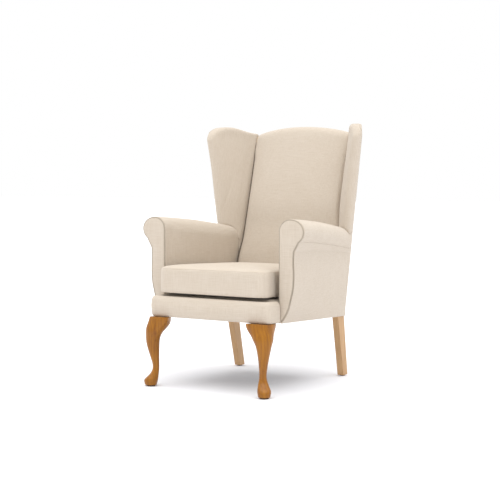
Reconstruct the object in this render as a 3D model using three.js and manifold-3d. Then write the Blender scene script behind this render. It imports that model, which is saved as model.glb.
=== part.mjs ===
// Wing fireside chair with scroll arms, a loose seat cushion, cabriole front legs and raked rear legs.
// Millimetres, +Z up, the sitter faces -Y. x = 0 is the middle of the chair, z = 0 is the floor.
// While the pieces are made, y = 0 is the plane of the arm facings. At the end the chair is centred on its
// footprint.

import * as THREE from 'three';
import * as BufferGeometryUtils from 'three/addons/utils/BufferGeometryUtils.js';
import Module from 'manifold-3d';

const wasm = await Module();
wasm.setup();

// Driving dimensions: how pieces meet

const gap = 0.3;
const overrun = 60;
const snugClearance = 0.45;
const mergeDistance = 0.01;
const weldDistance = 0.0001;
const straightTurnShare = 0.08;
const coverThickness = 2;

// Driving dimensions: seat

const seatHalfWidthFront = 266;
const seatTaper = 24;
const armLength = 506;
const seatBottomHeight = 275;
const seatDrop = 22;
const borderProjection = 92;
const borderOverhang = 10;
const borderCornerRadius = 20;
const borderTopThickness = 17;
const borderBulge = 5;
const borderPadThickness = 16;
const borderEdgeRadius = 14;
const railThickness = 24;
const railHeight = 70;
const cornerBlockLeg = 46;
const webThickness = 1.2;
const webWidth = 50;
const seatWebCount = 4;
const seatWebPitchShare = 0.465;
const platformPadThickness = 21;
const clothThickness = 1.5;
const dustCoverThickness = 1;

// Driving dimensions: seat cushion

const cushionSetback = 8;
const cushionRearClearance = 12;
const cushionSideClearanceFront = 16;
const cushionSideClearanceRear = 4.5;
const cushionBorderHeight = 102;
const cushionCrown = 13;
const cushionCornerRadius = 38;
const cushionRearCornerRadius = 24;
const cushionBulge = 3;
const cushionDrawIn = 3;
const cushionEdgeRadius = 12;
const zipLength = 400;
const zipWidth = 12;
const sliderLength = 16;
const sliderHeight = 8;
const sliderThickness = 2.5;
const pullLength = 26;
const pullWidth = 6;
const pullThickness = 1.5;

// Driving dimensions: arms

const armHeight = 665;
const armDrop = 53;
const rollInnerRadius = 50;
const rollOuterRadius = 58;
const rollUpperRadius = 48;
const rollLowerRadius = 50;
const frontNeckWidth = 65;
const frontNeckDepth = 75;
const rearRollInnerRadius = 38;
const rearRollOuterRadius = 35;
const rearRollUpperRadius = 46;
const rearRollLowerRadius = 46;
const rearNeckOverhang = 10;
const rearNeckDepth = 50;
const frontBoardThickness = 20;
const armRailWidth = 28;
const armRailHeight = 22;
const facingThickness = 5;
const pipingRadius = 2.5;
const pipingTailClearance = 2.5;

// Driving dimensions: back and wings

const casingThickness = 35;
const backRakeShare = 0.2;
const backCrown = 27;
const backCrownAtSeat = 4;
const backTopCrown = 28;
const backTopRadius = 24;
const creaseInsetSeat = 2;
const creaseInsetArm = 7;
const creaseInsetShoulder = 12;
const creaseInsetTop = 14;
const creaseDepthSeat = 78;
const creaseDepthArm = 50;
const creaseDepthShoulder = 51;
const creaseDepthTop = 25;
const creaseSeatRise = 205;
const creaseArmDrop = 9;
const creaseShoulderShare = 0.32;
const creaseTopDrop = 31;
const noseFlareLow = 32;
const noseFlareMiddle = 59;
const noseFlareTop = 78;
const noseDepthLow = 111;
const noseDepthMiddle = 159;
const noseDepthTop = 195;
const noseLowRise = 18;
const noseMiddleShare = 0.616;
const noseTopDrop = 53;
const noseRadius = 20;
const wingCrown = 7;
const wingTopRadius = 18;
const wingPeakShare = 0.4;
const wingFrontPowerShare = 2.5;
const wingFrontDrop = 50;
const wingFootDrop = 50;
const wingRearDrop = 28;
const overallHeight = 1043;
const wingBoardThickness = 16;

// Driving dimensions: back frame and rear legs

const postWidth = 28;
const postDepthSeat = 50;
const postDepthArm = 36;
const postDepthTop = 22;
const postTopDrop = 43;
const rearFootDepth = 36;
const rearFootInset = 6;
const rearFootSetback = 24;
const rearGlideHeight = 3;
const topRailHeight = 42;
const lowerRailHeight = 50;
const lowerRailRise = 147;
const backWebCount = 3;
const backWebStartShare = 0.45;
const backWebLap = 4;

// Driving dimensions: front legs

const legInset = 37;
const legSetback = 13;
const legReach = 61;
const legKneeHalfWidth = 58;
const legBoltRadius = 4;
const legBoltInset = 17;
const legBoltDepth = 45;
const legBoltHeight = 55;
const legFootCentreShare = 0.55;
const frontGlideRadius = 17;
const rearGlideRadius = 11;
const frontGlideHeight = 5;

// Front leg from the top down: height as a share of the leg's height, outer and inner reach along its
// outward diagonal as shares of the foot's reach, half width as a share of the knee's, how far it is widest
// from the inner to the outer side, and how square the section is.

const legProfileShares = [
  [1.040, 0.57, -0.80, 1.00, 0.30, 1.35],
  [0.965, 0.66, -0.78, 1.00, 0.32, 1.40],
  [0.900, 0.76, -0.72, 0.89, 0.36, 1.50],
  [0.840, 0.85, -0.52, 0.75, 0.42, 1.70],
  [0.780, 0.88, -0.26, 0.66, 0.48, 1.85],
  [0.720, 0.88, -0.10, 0.545, 0.50, 1.95],
  [0.650, 0.86, -0.03, 0.46, 0.50, 2.00],
  [0.570, 0.79, -0.01, 0.385, 0.50, 2.00],
  [0.480, 0.67, 0.00, 0.315, 0.50, 2.00],
  [0.400, 0.555, 0.005, 0.27, 0.50, 2.00],
  [0.330, 0.465, 0.005, 0.245, 0.50, 2.00],
  [0.260, 0.44, 0.01, 0.25, 0.50, 2.00],
  [0.200, 0.53, 0.03, 0.32, 0.50, 2.00],
  [0.150, 0.72, 0.06, 0.385, 0.50, 2.00],
  [0.110, 0.92, 0.08, 0.435, 0.50, 2.00],
  [0.080, 1.00, 0.10, 0.445, 0.50, 2.00],
  [0.050, 0.98, 0.14, 0.425, 0.50, 2.00],
  [0.000, 0.91, 0.20, 0.38, 0.50, 2.00],
];

// Outside of the arm below the roll, from the bottom up: shares of the neck's width and of its height.

const armSideFrontShares = [
  [0.12, 0.00],
  [0.37, 0.075],
  [0.63, 0.19],
  [0.80, 0.33],
  [0.96, 0.50],
  [1.00, 0.68],
  [0.97, 0.86],
  [1.00, 1.00],
];
const armSideRearShares = [
  [0.79, 0.00],
  [0.79, 0.12],
  [0.79, 0.27],
  [0.80, 0.42],
  [0.82, 0.58],
  [0.86, 0.74],
  [0.92, 0.88],
  [1.00, 1.00],
];
const armStationShares = [0, 0.2, 0.4, 0.6, 0.8, 1];

// The roll of an arm in degrees, from its underside over the top and down to its inner side.

const rollUnderAngles = { from: -52, to: -14, steps: 2 };
const rollOverAngles = { from: 8, to: 90, steps: 4 };
const rollInnerAngles = { from: 112, to: 180, steps: 3 };
const armDropPowerShare = 1.4;

// Turning over an edge: shares of the radius, inwards and down from the top.

const edgeTurnShares = [
  [0.00, 1.00],
  [0.13, 0.50],
  [0.42, 0.16],
  [0.85, 0.00],
];

// Front border from the bottom up: height as a share of its height, and how far it draws in as a share of
// the radius of its upper edge. Above the last of these it turns in to the deck of the seat.

const borderProfileShares = [
  [0.2, 0.01],
  [0.8, 0],
  [1, 0.25],
];
const borderDeckShares = [
  [0.5, 1],
  [1, 3],
];

// Seat cushion: up its border, as shares of the edge radius, and over its crown, as shares of the crown's
// height and of the half depth of the cushion.

const cushionLowerEdgeShares = [
  [0, 1],
  [0.25, 0.4],
  [0.8, 0],
];
const cushionUpperEdgeShares = [
  [-0.6, 0],
  [0, 0.15],
];
const cushionCrownShares = [
  [0.32, 0.045],
  [0.62, 0.17],
  [0.86, 0.38],
  [0.97, 0.64],
  [1, 0.86],
];
const cushionSideShares = [0.33, 0.67];
const cushionFrontShares = { across: 0.5, bulge: 0.7 };

// Helpers: solids

function toSolid(geometry) {
  const bare = geometry.clone();
  bare.deleteAttribute('normal');
  bare.deleteAttribute('uv');
  const merged = BufferGeometryUtils.mergeVertices(bare, weldDistance);
  const vertProperties = new Float32Array(merged.attributes.position.array);
  const triVerts = new Uint32Array(merged.index.array);
  return new wasm.Manifold(new wasm.Mesh({ numProp: 3, vertProperties, triVerts }));
}

function toGeometry(solid) {
  const mesh = solid.simplify(mergeDistance).getMesh();
  const geometry = new THREE.BufferGeometry();
  geometry.setAttribute('position', new THREE.BufferAttribute(new Float32Array(mesh.vertProperties), 3));
  geometry.setIndex(new THREE.BufferAttribute(new Uint32Array(mesh.triVerts), 1));
  return geometry;
}

// The largest body of a solid: cuts may leave slivers of padding or cloth that nothing holds.

function largestBody(solid) {
  const bodies = solid.decompose();
  return bodies.reduce((best, body) => (body.volume() > best.volume() ? body : best));
}

function joined(solids) {
  return solids.reduce((sum, solid) => sum.add(solid));
}

// A signed area of a ring of 3D points seen along its main direction, and the flat points it gives.

function flattened(ring) {
  const normal = new THREE.Vector3();
  ring.forEach((point, i) => {
    const next = ring[(i + 1) % ring.length];
    normal.x += (point.y - next.y) * (point.z + next.z);
    normal.y += (point.z - next.z) * (point.x + next.x);
    normal.z += (point.x - next.x) * (point.y + next.y);
  });
  const size = [Math.abs(normal.x), Math.abs(normal.y), Math.abs(normal.z)];
  const main = size.indexOf(Math.max(...size));
  const keys = [['y', 'z'], ['z', 'x'], ['x', 'y']][main];
  return ring.map((point) => new THREE.Vector2(point[keys[0]], point[keys[1]]));
}

function capTriangles(ring, start, reverse) {
  const flat = flattened(ring);
  const sign = Math.sign(THREE.ShapeUtils.area(flat));
  const order = flat.map((point, i) => i);
  if (sign < 0) {
    order.reverse();
  }
  const contour = order.map((i) => flat[i]);
  const triangles = [];
  for (const [a, b, c] of THREE.ShapeUtils.triangulateShape(contour, [])) {
    const corners = [order[a], order[b], order[c]];
    const area = THREE.ShapeUtils.area(corners.map((i) => flat[i]));
    const flip = (Math.sign(area) !== sign) !== reverse;
    triangles.push(...(flip ? corners.reverse() : corners).map((i) => i + start));
  }
  return triangles;
}

// A cap that joins the points of a ring in pairs, outwards from one pair that lie side by side, so that a
// ring that isn't level is always capped the same way.

function pairedTriangles(count, first, start, reverse) {
  const at = (i) => start + (i + count) % count;
  const triangles = [];
  for (let k = 0; 2 * k + 2 < count; k += 1) {
    const [a, b, c, d] = [at(first - k), at(first + 1 + k), at(first + 2 + k), at(first - 1 - k)];
    triangles.push(...(reverse ? [a, c, b] : [a, b, c]));
    if (c !== d) {
      triangles.push(...(reverse ? [a, d, c] : [a, c, d]));
    }
  }
  return triangles;
}

// A closed skin through rings of the same number of points, with both ends capped.

function loft(rings, pairedFrom = null) {
  const count = rings[0].length;
  const positions = rings.flat().flatMap((point) => [point.x, point.y, point.z]);
  const index = [];
  for (let i = 0; i < rings.length - 1; i += 1) {
    for (let j = 0; j < count; j += 1) {
      const next = (j + 1) % count;
      const a = i * count + j;
      const b = i * count + next;
      const c = (i + 1) * count + next;
      const d = (i + 1) * count + j;
      index.push(a, b, c, a, c, d);
    }
  }
  const last = (rings.length - 1) * count;
  if (pairedFrom === null) {
    index.push(...capTriangles(rings[0], 0, true), ...capTriangles(rings.at(-1), last, false));
  } else {
    index.push(...pairedTriangles(count, pairedFrom, 0, true));
    index.push(...pairedTriangles(count, pairedFrom, last, false));
  }
  const geometry = new THREE.BufferGeometry();
  geometry.setAttribute('position', new THREE.Float32BufferAttribute(positions, 3));
  geometry.setIndex(index);
  return facingOut(geometry);
}

function facingOut(geometry) {
  const position = geometry.attributes.position;
  const index = geometry.index.array;
  const corner = [new THREE.Vector3(), new THREE.Vector3(), new THREE.Vector3()];
  let volume = 0;
  for (let i = 0; i < index.length; i += 3) {
    corner.forEach((point, k) => point.fromBufferAttribute(position, index[i + k]));
    volume += corner[0].dot(corner[1].clone().cross(corner[2]));
  }
  if (volume < 0) {
    for (let i = 0; i < index.length; i += 3) {
      const swap = index[i];
      index[i] = index[i + 1];
      index[i + 1] = swap;
    }
  }
  return geometry;
}

function mirrored(geometry) {
  const copy = geometry.clone();
  copy.scale(-1, 1, 1);
  return facingOut(copy);
}

// Helpers: outlines and tables

// Each edge of an anticlockwise outline moves outwards by its own distance, and the corners follow.

function offsetOutline(points, distances) {
  const count = points.length;
  const normals = points.map((point, i) => {
    const edge = points[(i + 1) % count].clone().sub(point).normalize();
    return new THREE.Vector2(edge.y, -edge.x);
  });
  return points.map((point, i) => {
    const before = (i + count - 1) % count;
    const m = normals[before];
    const n = normals[i];
    const turn = m.x * n.y - m.y * n.x;
    if (Math.abs(turn) < straightTurnShare) {
      const along = m.clone().add(n).normalize();
      return point.clone().addScaledVector(along, (distances[before] + distances[i]) / 2);
    }
    const x = (distances[before] * n.y - distances[i] * m.y) / turn;
    const y = (distances[i] * m.x - distances[before] * n.x) / turn;
    return point.clone().add(new THREE.Vector2(x, y));
  });
}

// Straight lines through the places of a table, read by height.

function placeAt(table, z) {
  let i = 0;
  while (i < table.length - 2 && z > table[i + 1].z) {
    i += 1;
  }
  const share = (z - table[i].z) / (table[i + 1].z - table[i].z);
  const x = THREE.MathUtils.lerp(table[i].x, table[i + 1].x, share);
  const y = THREE.MathUtils.lerp(table[i].y, table[i + 1].y, share);
  return { x, y };
}

function smooth(value, low, high) {
  return THREE.MathUtils.smoothstep(value, low, high);
}

function arcPoints(centre, radiusX, radiusY, { from, to, steps }) {
  return Array.from({ length: steps + 1 }, (unused, i) => {
    const angle = THREE.MathUtils.degToRad(THREE.MathUtils.lerp(from, to, i / steps));
    return new THREE.Vector2(centre.x + radiusX * Math.cos(angle), centre.y + radiusY * Math.sin(angle));
  });
}

// Where things are: planes and lines that several pieces share

const seatLength = borderProjection + armLength;
const seatHalfWidthRear = seatHalfWidthFront - seatTaper;
const casingHalfWidth = seatHalfWidthRear + casingThickness;
const rearNeckWidth = casingThickness + rearNeckOverhang;
const postTopHeight = overallHeight - postTopDrop;

// The underside of the seat falls towards the back. A height h is measured from it.

function seatZ(y, h) {
  return seatBottomHeight - seatDrop * (y + borderProjection) / seatLength + h;
}

const backFootZ = seatZ(armLength, 0);
const backSkin = coverThickness + gap;

function backPlaneY(z) {
  return armLength + backRakeShare * (z - backFootZ);
}

function postRearY(z) {
  return backPlaneY(z) - coverThickness - snugClearance;
}

// The crease where the inside back meets the arm and the wing, and the middle of the wing's round nose.

const armRearTop = armHeight - armDrop;
const topHeight = overallHeight - creaseTopDrop;

function creasePlace(inset, depth, z) {
  return { x: seatHalfWidthRear - inset, y: backPlaneY(z) - depth, z };
}

function nosePlace(flare, depth, z) {
  return { x: casingHalfWidth + flare, y: backPlaneY(z) - depth, z };
}

const creaseArmZ = armRearTop - creaseArmDrop;
const creaseShoulderZ = THREE.MathUtils.lerp(creaseArmZ, topHeight, creaseShoulderShare);
const noseMiddleZ = THREE.MathUtils.lerp(creaseArmZ, topHeight, noseMiddleShare);
const creaseSeat = creasePlace(creaseInsetSeat, creaseDepthSeat, backFootZ + creaseSeatRise);
const creaseArm = creasePlace(creaseInsetArm, creaseDepthArm, creaseArmZ);
const creaseShoulder = creasePlace(creaseInsetShoulder, creaseDepthShoulder, creaseShoulderZ);
const creaseTop = creasePlace(creaseInsetTop, creaseDepthTop, topHeight);
const noseLow = nosePlace(noseFlareLow, noseDepthLow, armRearTop + noseLowRise);
const noseMiddle = nosePlace(noseFlareMiddle, noseDepthMiddle, noseMiddleZ);
const noseTop = nosePlace(noseFlareTop, noseDepthTop, overallHeight - noseTopDrop);

const postDepths = [
  { z: seatBottomHeight, x: postDepthSeat, y: 0 },
  { z: creaseArm.z, x: postDepthArm, y: 0 },
  { z: postTopHeight, x: postDepthTop, y: 0 },
];

function postFrontY(z) {
  return postRearY(z) - placeAt(postDepths, z).x;
}

function innerX(y) {
  return THREE.MathUtils.lerp(seatHalfWidthFront, seatHalfWidthRear, y / armLength);
}

const webHeight = railHeight + gap;
const borderHeight = railHeight + borderTopThickness;
const platformPadHeight = webHeight + webThickness + gap;
const platformClothHeight = platformPadHeight + platformPadThickness + gap;
const deckHeight = platformClothHeight + clothThickness;
const cushionHeight = deckHeight + gap;

const creaseBottom = { x: creaseSeat.x, y: creaseSeat.y - gap, z: seatZ(creaseSeat.y, deckHeight) };
const creaseLine = [creaseBottom, creaseSeat, creaseArm, creaseShoulder, creaseTop];
const noseLine = [noseLow, noseMiddle, noseTop];

// A four-sided bar between two heights, with its own y at each height.

function rakedBar(xFrom, xTo, zFrom, zTo, frontY, rearY) {
  const ring = (z) => [
    new THREE.Vector3(xFrom, frontY(z), z),
    new THREE.Vector3(xTo, frontY(z), z),
    new THREE.Vector3(xTo, rearY(z), z),
    new THREE.Vector3(xFrom, rearY(z), z),
  ];
  return loft([ring(zFrom), ring(zTo)]);
}

// A slab over a plan outline, between two heights above the underside of the seat.

function seatSlab(outline, hFrom, hTo) {
  const ring = (h) => outline.map((point) => new THREE.Vector3(point.x, point.y, seatZ(point.y, h)));
  return loft([ring(hFrom), ring(hTo)]);
}

function rectangle(xFrom, xTo, yFrom, yTo) {
  return [
    new THREE.Vector2(xFrom, yFrom),
    new THREE.Vector2(xTo, yFrom),
    new THREE.Vector2(xTo, yTo),
    new THREE.Vector2(xFrom, yTo),
  ];
}

// Seat frame. Each member can be grown all round, to cut its own pocket in what surrounds it.

const railOuterFront = seatHalfWidthFront - gap - gap;
const frontRailFront = borderPadThickness + coverThickness - borderProjection;
const frontRailRear = frontRailFront + railThickness;
const postInner = casingHalfWidth - coverThickness - snugClearance - postWidth;
const postOuter = postInner + postWidth;

function rearRailFront(z) {
  return postRearY(z) - railThickness;
}

function frontRail(grow = 0) {
  const outline = rectangle(-railOuterFront - grow, railOuterFront + grow,
    frontRailFront - grow, frontRailRear + grow);
  return toSolid(seatSlab(outline, -grow, railHeight + grow));
}

function rearRail(grow = 0) {
  const half = postInner - gap;
  const top = seatZ(postRearY(backFootZ + railHeight), railHeight);
  return toSolid(rakedBar(-half - grow, half + grow, backFootZ - grow, top + grow,
    (z) => rearRailFront(z) - grow, (z) => postRearY(z) + grow));
}

function sideRail(grow = 0) {
  const rearY = (z) => rearRailFront(z) - gap + grow;
  const frontY = frontRailRear + gap - grow;
  const outerRear = innerX(armLength) - gap - gap;
  const corner = (x, y, h) => new THREE.Vector3(x, y, seatZ(y, h));
  const low = -grow;
  const high = railHeight + grow;
  const rearLow = rearY(seatZ(armLength, 0));
  const rearHigh = rearY(seatZ(armLength, railHeight));
  const front = [
    corner(railOuterFront - railThickness - grow, frontY, low),
    corner(railOuterFront + grow, frontY, low),
    corner(railOuterFront + grow, frontY, high),
    corner(railOuterFront - railThickness - grow, frontY, high),
  ];
  const rear = [
    corner(outerRear - railThickness - grow, rearLow, low),
    corner(outerRear + grow, rearLow, low),
    corner(outerRear + grow, rearHigh, high),
    corner(outerRear - railThickness - grow, rearHigh, high),
  ];
  return toSolid(loft([front, rear]));
}

function cornerBlock() {
  const x = railOuterFront - railThickness - gap;
  const y = frontRailRear + gap;
  const outline = [
    new THREE.Vector2(x - cornerBlockLeg, y),
    new THREE.Vector2(x, y),
    new THREE.Vector2(x, y + cornerBlockLeg),
  ];
  return toSolid(seatSlab(outline, dustCoverThickness + gap, railHeight)).subtract(sideRail(gap));
}

// A back post is one piece with its rear leg.

const rearFootCentre = armLength + rearFootSetback;

function backPost(grow = 0) {
  const ring = (xFrom, z, yFront, yRear) => [
    new THREE.Vector3(xFrom - grow, yFront - grow, z),
    new THREE.Vector3(xFrom + postWidth + grow, yFront - grow, z),
    new THREE.Vector3(xFrom + postWidth + grow, yRear + grow, z),
    new THREE.Vector3(xFrom - grow, yRear + grow, z),
  ];
  const foot = rearGlideHeight + gap - grow;
  const half = rearFootDepth / 2;
  const rings = [
    ring(postInner - rearFootInset, foot, rearFootCentre - half, rearFootCentre + half),
    ...[backFootZ, backFootZ + railHeight, creaseArm.z].map((z) => {
      return ring(postInner, z, postFrontY(z), postRearY(z));
    }),
    ring(postInner, postTopHeight + grow, postFrontY(postTopHeight), postRearY(postTopHeight)),
  ];
  return toSolid(loft(rings));
}

function backRail(z, height, grow = 0) {
  const half = postInner - gap + grow;
  return toSolid(rakedBar(-half, half, z - grow, z + height + grow,
    (at) => postFrontY(at) - grow, (at) => postRearY(at) + grow));
}

const topRailZ = postTopHeight - topRailHeight;
const lowerRailZ = backFootZ + lowerRailRise;

// Arms: sections across the arm, from the facing (share 0) to the back (share 1)

function armSection(share) {
  const mix = (front, rear) => THREE.MathUtils.lerp(front, rear, share);
  const y = share * armLength;
  const inner = innerX(y);
  const bottom = seatZ(y, 0);
  const top = armHeight - armDrop * share ** armDropPowerShare;
  const inRadius = mix(rollInnerRadius, rearRollInnerRadius);
  const outRadius = mix(rollOuterRadius, rearRollOuterRadius);
  const centre = new THREE.Vector2(inner + inRadius, top - mix(rollUpperRadius, rearRollUpperRadius));
  const neckZ = centre.y - mix(frontNeckDepth, rearNeckDepth);
  const neckWidth = mix(frontNeckWidth, rearNeckWidth);
  const side = armSideFrontShares.map(([across, up], i) => {
    const rear = armSideRearShares[i];
    const x = inner + neckWidth * mix(across, rear[0]);
    return new THREE.Vector2(x, bottom + (neckZ - bottom) * mix(up, rear[1]));
  });
  const up = mix(rollUpperRadius, rearRollUpperRadius);
  const points = [
    new THREE.Vector2(inner, bottom),
    ...side,
    ...arcPoints(centre, outRadius, mix(rollLowerRadius, rearRollLowerRadius), rollUnderAngles),
    ...arcPoints(centre, outRadius, up, rollOverAngles),
    ...arcPoints(centre, inRadius, up, rollInnerAngles),
  ];
  return { points, y, neckZ };
}

// Outline of a section moved out by a distance, with its bottom edge moved by another.

function armOutline(share, distance, bottomDistance = distance) {
  const { points } = armSection(share);
  const distances = points.map((point, i) => (i === 0 ? bottomDistance : distance));
  return offsetOutline(points, distances);
}

function armForm(distance, { frontY = 0, rearY = armLength, bottomDistance } = {}) {
  const shares = armStationShares;
  const rings = shares.map((share, i) => {
    const end = i === 0 ? frontY : (i === shares.length - 1 ? rearY : share * armLength);
    return armOutline(share, distance, bottomDistance).map((p) => new THREE.Vector3(p.x, end, p.y));
  });
  return toSolid(loft(rings));
}

const armBoardFront = snugClearance;
const armBoardRear = armBoardFront + frontBoardThickness;

function armFrontBoard(grow = 0) {
  const plate = armOutline(0, grow - coverThickness - snugClearance);
  const rings = [armBoardFront - grow, armBoardRear + grow].map((y) => {
    return plate.map((p) => new THREE.Vector3(p.x, y, p.y));
  });
  return toSolid(loft(rings));
}

function rollCentre(share) {
  const { y } = armSection(share);
  const top = armHeight - armDrop * share ** armDropPowerShare;
  const inRadius = THREE.MathUtils.lerp(rollInnerRadius, rearRollInnerRadius, share);
  const up = THREE.MathUtils.lerp(rollUpperRadius, rearRollUpperRadius, share);
  return new THREE.Vector3(innerX(y) + inRadius, y, top - up);
}

function armRail(grow = 0) {
  const front = rollCentre(0);
  const rear = rollCentre(1);
  rear.x = (postInner + postOuter) / 2;
  const section = (centre, yAt) => [[-1, -1], [1, -1], [1, 1], [-1, 1]].map(([across, up]) => {
    const z = centre.z + up * (armRailHeight / 2 + grow);
    return new THREE.Vector3(centre.x + across * (armRailWidth / 2 + grow), yAt(z), z);
  });
  const rings = [
    section(front, () => armBoardRear + gap - grow),
    section(rear, (z) => postFrontY(z) - gap + grow),
  ];
  return toSolid(loft(rings));
}

// Wings: level sections, from the arm up

const wingFootZ = creaseArm.z - wingFootDrop;

function wingTopZ(y) {
  const front = noseTop.y - noseRadius;
  const peak = THREE.MathUtils.lerp(front, creaseTop.y, wingPeakShare);
  if (y < peak) {
    return overallHeight - wingFrontDrop * Math.min(1, (peak - y) / (peak - front)) ** wingFrontPowerShare;
  }
  return overallHeight - wingRearDrop * smooth(y, peak, creaseTop.y);
}

// Outline of a wing at a height: crease, padded inner face, round nose, outer face, back. A recess draws
// its free faces in, and the crease stays.

function wingOutline(z, faceDistance, rearDistance, creaseDistance, recess = 0) {
  const crease = placeAt(creaseLine, z);
  const nose = placeAt(noseLine, z);
  const rearY = backPlaneY(z) - backSkin;
  const foot = new THREE.Vector2(crease.x, crease.y);
  const centre = new THREE.Vector2(nose.x, nose.y);
  const along = centre.clone().sub(foot);
  const angle = THREE.MathUtils.radToDeg(Math.atan2(along.y, along.x));
  const radius = noseRadius - recess;
  const turn = { from: angle - 90, to: angle + wingTipAngle, steps: wingTipStepCount };
  const tip = arcPoints(centre, radius, radius, turn);
  const side = new THREE.Vector2(along.y, -along.x).normalize();
  const face = wingFaceShares.map((share) => {
    const crown = wingCrown * (1 - (2 * share - 1) ** 2);
    return foot.clone().lerp(tip[0], share).addScaledVector(side, crown * (1 - recess / noseRadius));
  });
  const corner = new THREE.Vector2(casingHalfWidth - recess / 2, rearY);
  const outside = wingOutsideShares.map((share) => tip.at(-1).clone().lerp(corner, share));
  const points = [foot, ...face, ...tip, ...outside, corner, new THREE.Vector2(crease.x, rearY)];
  const distances = points.map(() => faceDistance);
  distances[points.length - 2] = rearDistance;
  distances[points.length - 1] = creaseDistance;
  return offsetOutline(points, distances);
}

const wingFaceShares = [0.22, 0.45, 0.66, 0.84];
const wingOutsideShares = [0.16, 0.36, 0.56, 0.78];
const wingTipStepCount = 5;
const wingTipAngle = 70;
const wingSeamBendShare = 0.2;
const wingTipMiddle = wingFaceShares.length + 3;
const wingLevels = [wingFootZ, noseLow.z, creaseShoulder.z, noseMiddle.z, (noseMiddle.z + noseTop.z) / 2];

function wingLoft(distance, rearDistance, creaseDistance) {
  const level = (z) => wingOutline(z, distance, rearDistance, creaseDistance)
    .map((p) => new THREE.Vector3(p.x, p.y, z));
  const crown = edgeTurnShares.map(([inward, down]) => {
    const recess = wingTopRadius * inward;
    const outline = wingOutline(noseTop.z, distance, rearDistance, creaseDistance, recess);
    return outline.map((p) => {
      return new THREE.Vector3(p.x, p.y, wingTopZ(p.y) + distance - wingTopRadius * down);
    });
  });
  return toSolid(loft([...wingLevels.map(level), ...crown], wingTipMiddle));
}

// The casing carries the side of the chair down behind the arm, over the back post.

function casing(distance, creaseDistance, bottomDistance) {
  const inner = seatHalfWidthRear - creaseDistance;
  return toSolid(rakedBar(inner, casingHalfWidth + distance, backFootZ - bottomDistance,
    wingFootZ + armRailHeight, () => armLength, () => armLength + seatLength));
}

// Everything in front of a plane that lies parallel to the outside back, at a distance from it.

function inFrontOfBack(distance) {
  return toSolid(rakedBar(-seatLength, seatLength, -seatLength, overallHeight + seatLength,
    () => -seatLength, (z) => backPlaneY(z) - distance));
}

function wingForm(distance, rearDistance, creaseDistance, bottomDistance) {
  const rear = coverThickness + gap - rearDistance;
  return wingLoft(distance, rearDistance, creaseDistance)
    .add(casing(distance, creaseDistance, bottomDistance))
    .intersect(inFrontOfBack(rear));
}

function armSeat() {
  return armForm(gap + gap, { frontY: -overrun, rearY: armLength + gap });
}

function wingBoard(grow = 0) {
  const rings = [creaseArm.z - grow, noseMiddle.z, noseTop.z - wingTopRadius - wingTopRadius + grow];
  const ring = (z) => {
    const nose = placeAt(noseLine, z);
    const start = new THREE.Vector2((postInner + postOuter) / 2, postFrontY(z) - gap + grow);
    const end = new THREE.Vector2(nose.x, nose.y);
    const along = end.clone().sub(start).normalize();
    end.addScaledVector(along, grow);
    const side = new THREE.Vector2(-along.y, along.x).multiplyScalar(wingBoardThickness / 2 + grow);
    return [
      new THREE.Vector3(start.x - side.x, start.y, z),
      new THREE.Vector3(end.x - side.x, end.y - side.y, z),
      new THREE.Vector3(end.x + side.x, end.y + side.y, z),
      new THREE.Vector3(start.x + side.x, start.y, z),
    ];
  };
  return toSolid(loft(rings.map(ring)));
}

// Back: level sections between the creases, with a crown across and along the top

const backStationShares = [-1, -0.82, -0.55, -0.28, 0, 0.28, 0.55, 0.82, 1];
const backCrownPowerShare = 3;

function backRing(z, distance, rearDistance, recess, sideDistance) {
  const crease = placeAt(creaseLine, z);
  const half = crease.x - gap - sideDistance;
  const bulge = THREE.MathUtils.lerp(backCrownAtSeat, backCrown, smooth(z, creaseSeat.z, creaseArm.z));
  const lift = backTopCrown * smooth(z, creaseShoulder.z, creaseTop.z);
  const front = backStationShares.map((share) => {
    const y = crease.y - bulge * (1 - Math.abs(share) ** backCrownPowerShare) - distance + recess;
    return new THREE.Vector3(share * half, y, z + lift * (1 - share * share));
  });
  const rear = backStationShares.map((share) => {
    const height = z + lift * (1 - share * share);
    return new THREE.Vector3(share * half, backPlaneY(height) - backSkin + rearDistance, height);
  });
  return [...front, ...rear.reverse()];
}

function backForm(distance, rearDistance, sideDistance) {
  const middle = (creaseShoulder.z + creaseTop.z) / 2;
  const levels = [seatBottomHeight, creaseSeat.z, creaseArm.z, creaseShoulder.z, middle];
  const low = levels.map((z) => backRing(z, distance, rearDistance, 0, sideDistance));
  const crown = edgeTurnShares.map(([inward, down]) => {
    const z = creaseTop.z + distance - backTopRadius * down;
    return backRing(z, distance, rearDistance, backTopRadius * inward, sideDistance);
  });
  return toSolid(loft([...low, ...crown], backStationShares.length - 1));
}

// Everything below the deck of the seat, which the back and the wings stand on.

function belowDeck(h) {
  return toSolid(seatSlab(rectangle(-seatLength, seatLength, -seatLength, seatLength * 2), -seatLength, h));
}

// Front border: a block with round front corners that wraps the front of the seat frame

const borderHalfWidth = seatHalfWidthFront + borderOverhang;
const frontCornerAngles = { from: -90, to: 0, steps: 4 };
const rearCornerAngles = { from: 0, to: 90, steps: 3 };

function borderOutline(inset) {
  const half = borderHalfWidth - inset;
  const front = inset - borderProjection;
  const radius = Math.max(borderCornerRadius - inset, borderCornerRadius / 4);
  const corner = new THREE.Vector2(half - radius, front + radius);
  const right = arcPoints(corner, radius, radius, frontCornerAngles);
  const left = right.map((p) => new THREE.Vector2(-p.x, p.y)).reverse();
  const rear = -facingThickness - gap - gap;
  return [...left, ...right, new THREE.Vector2(half, rear), new THREE.Vector2(-half, rear)];
}

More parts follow.
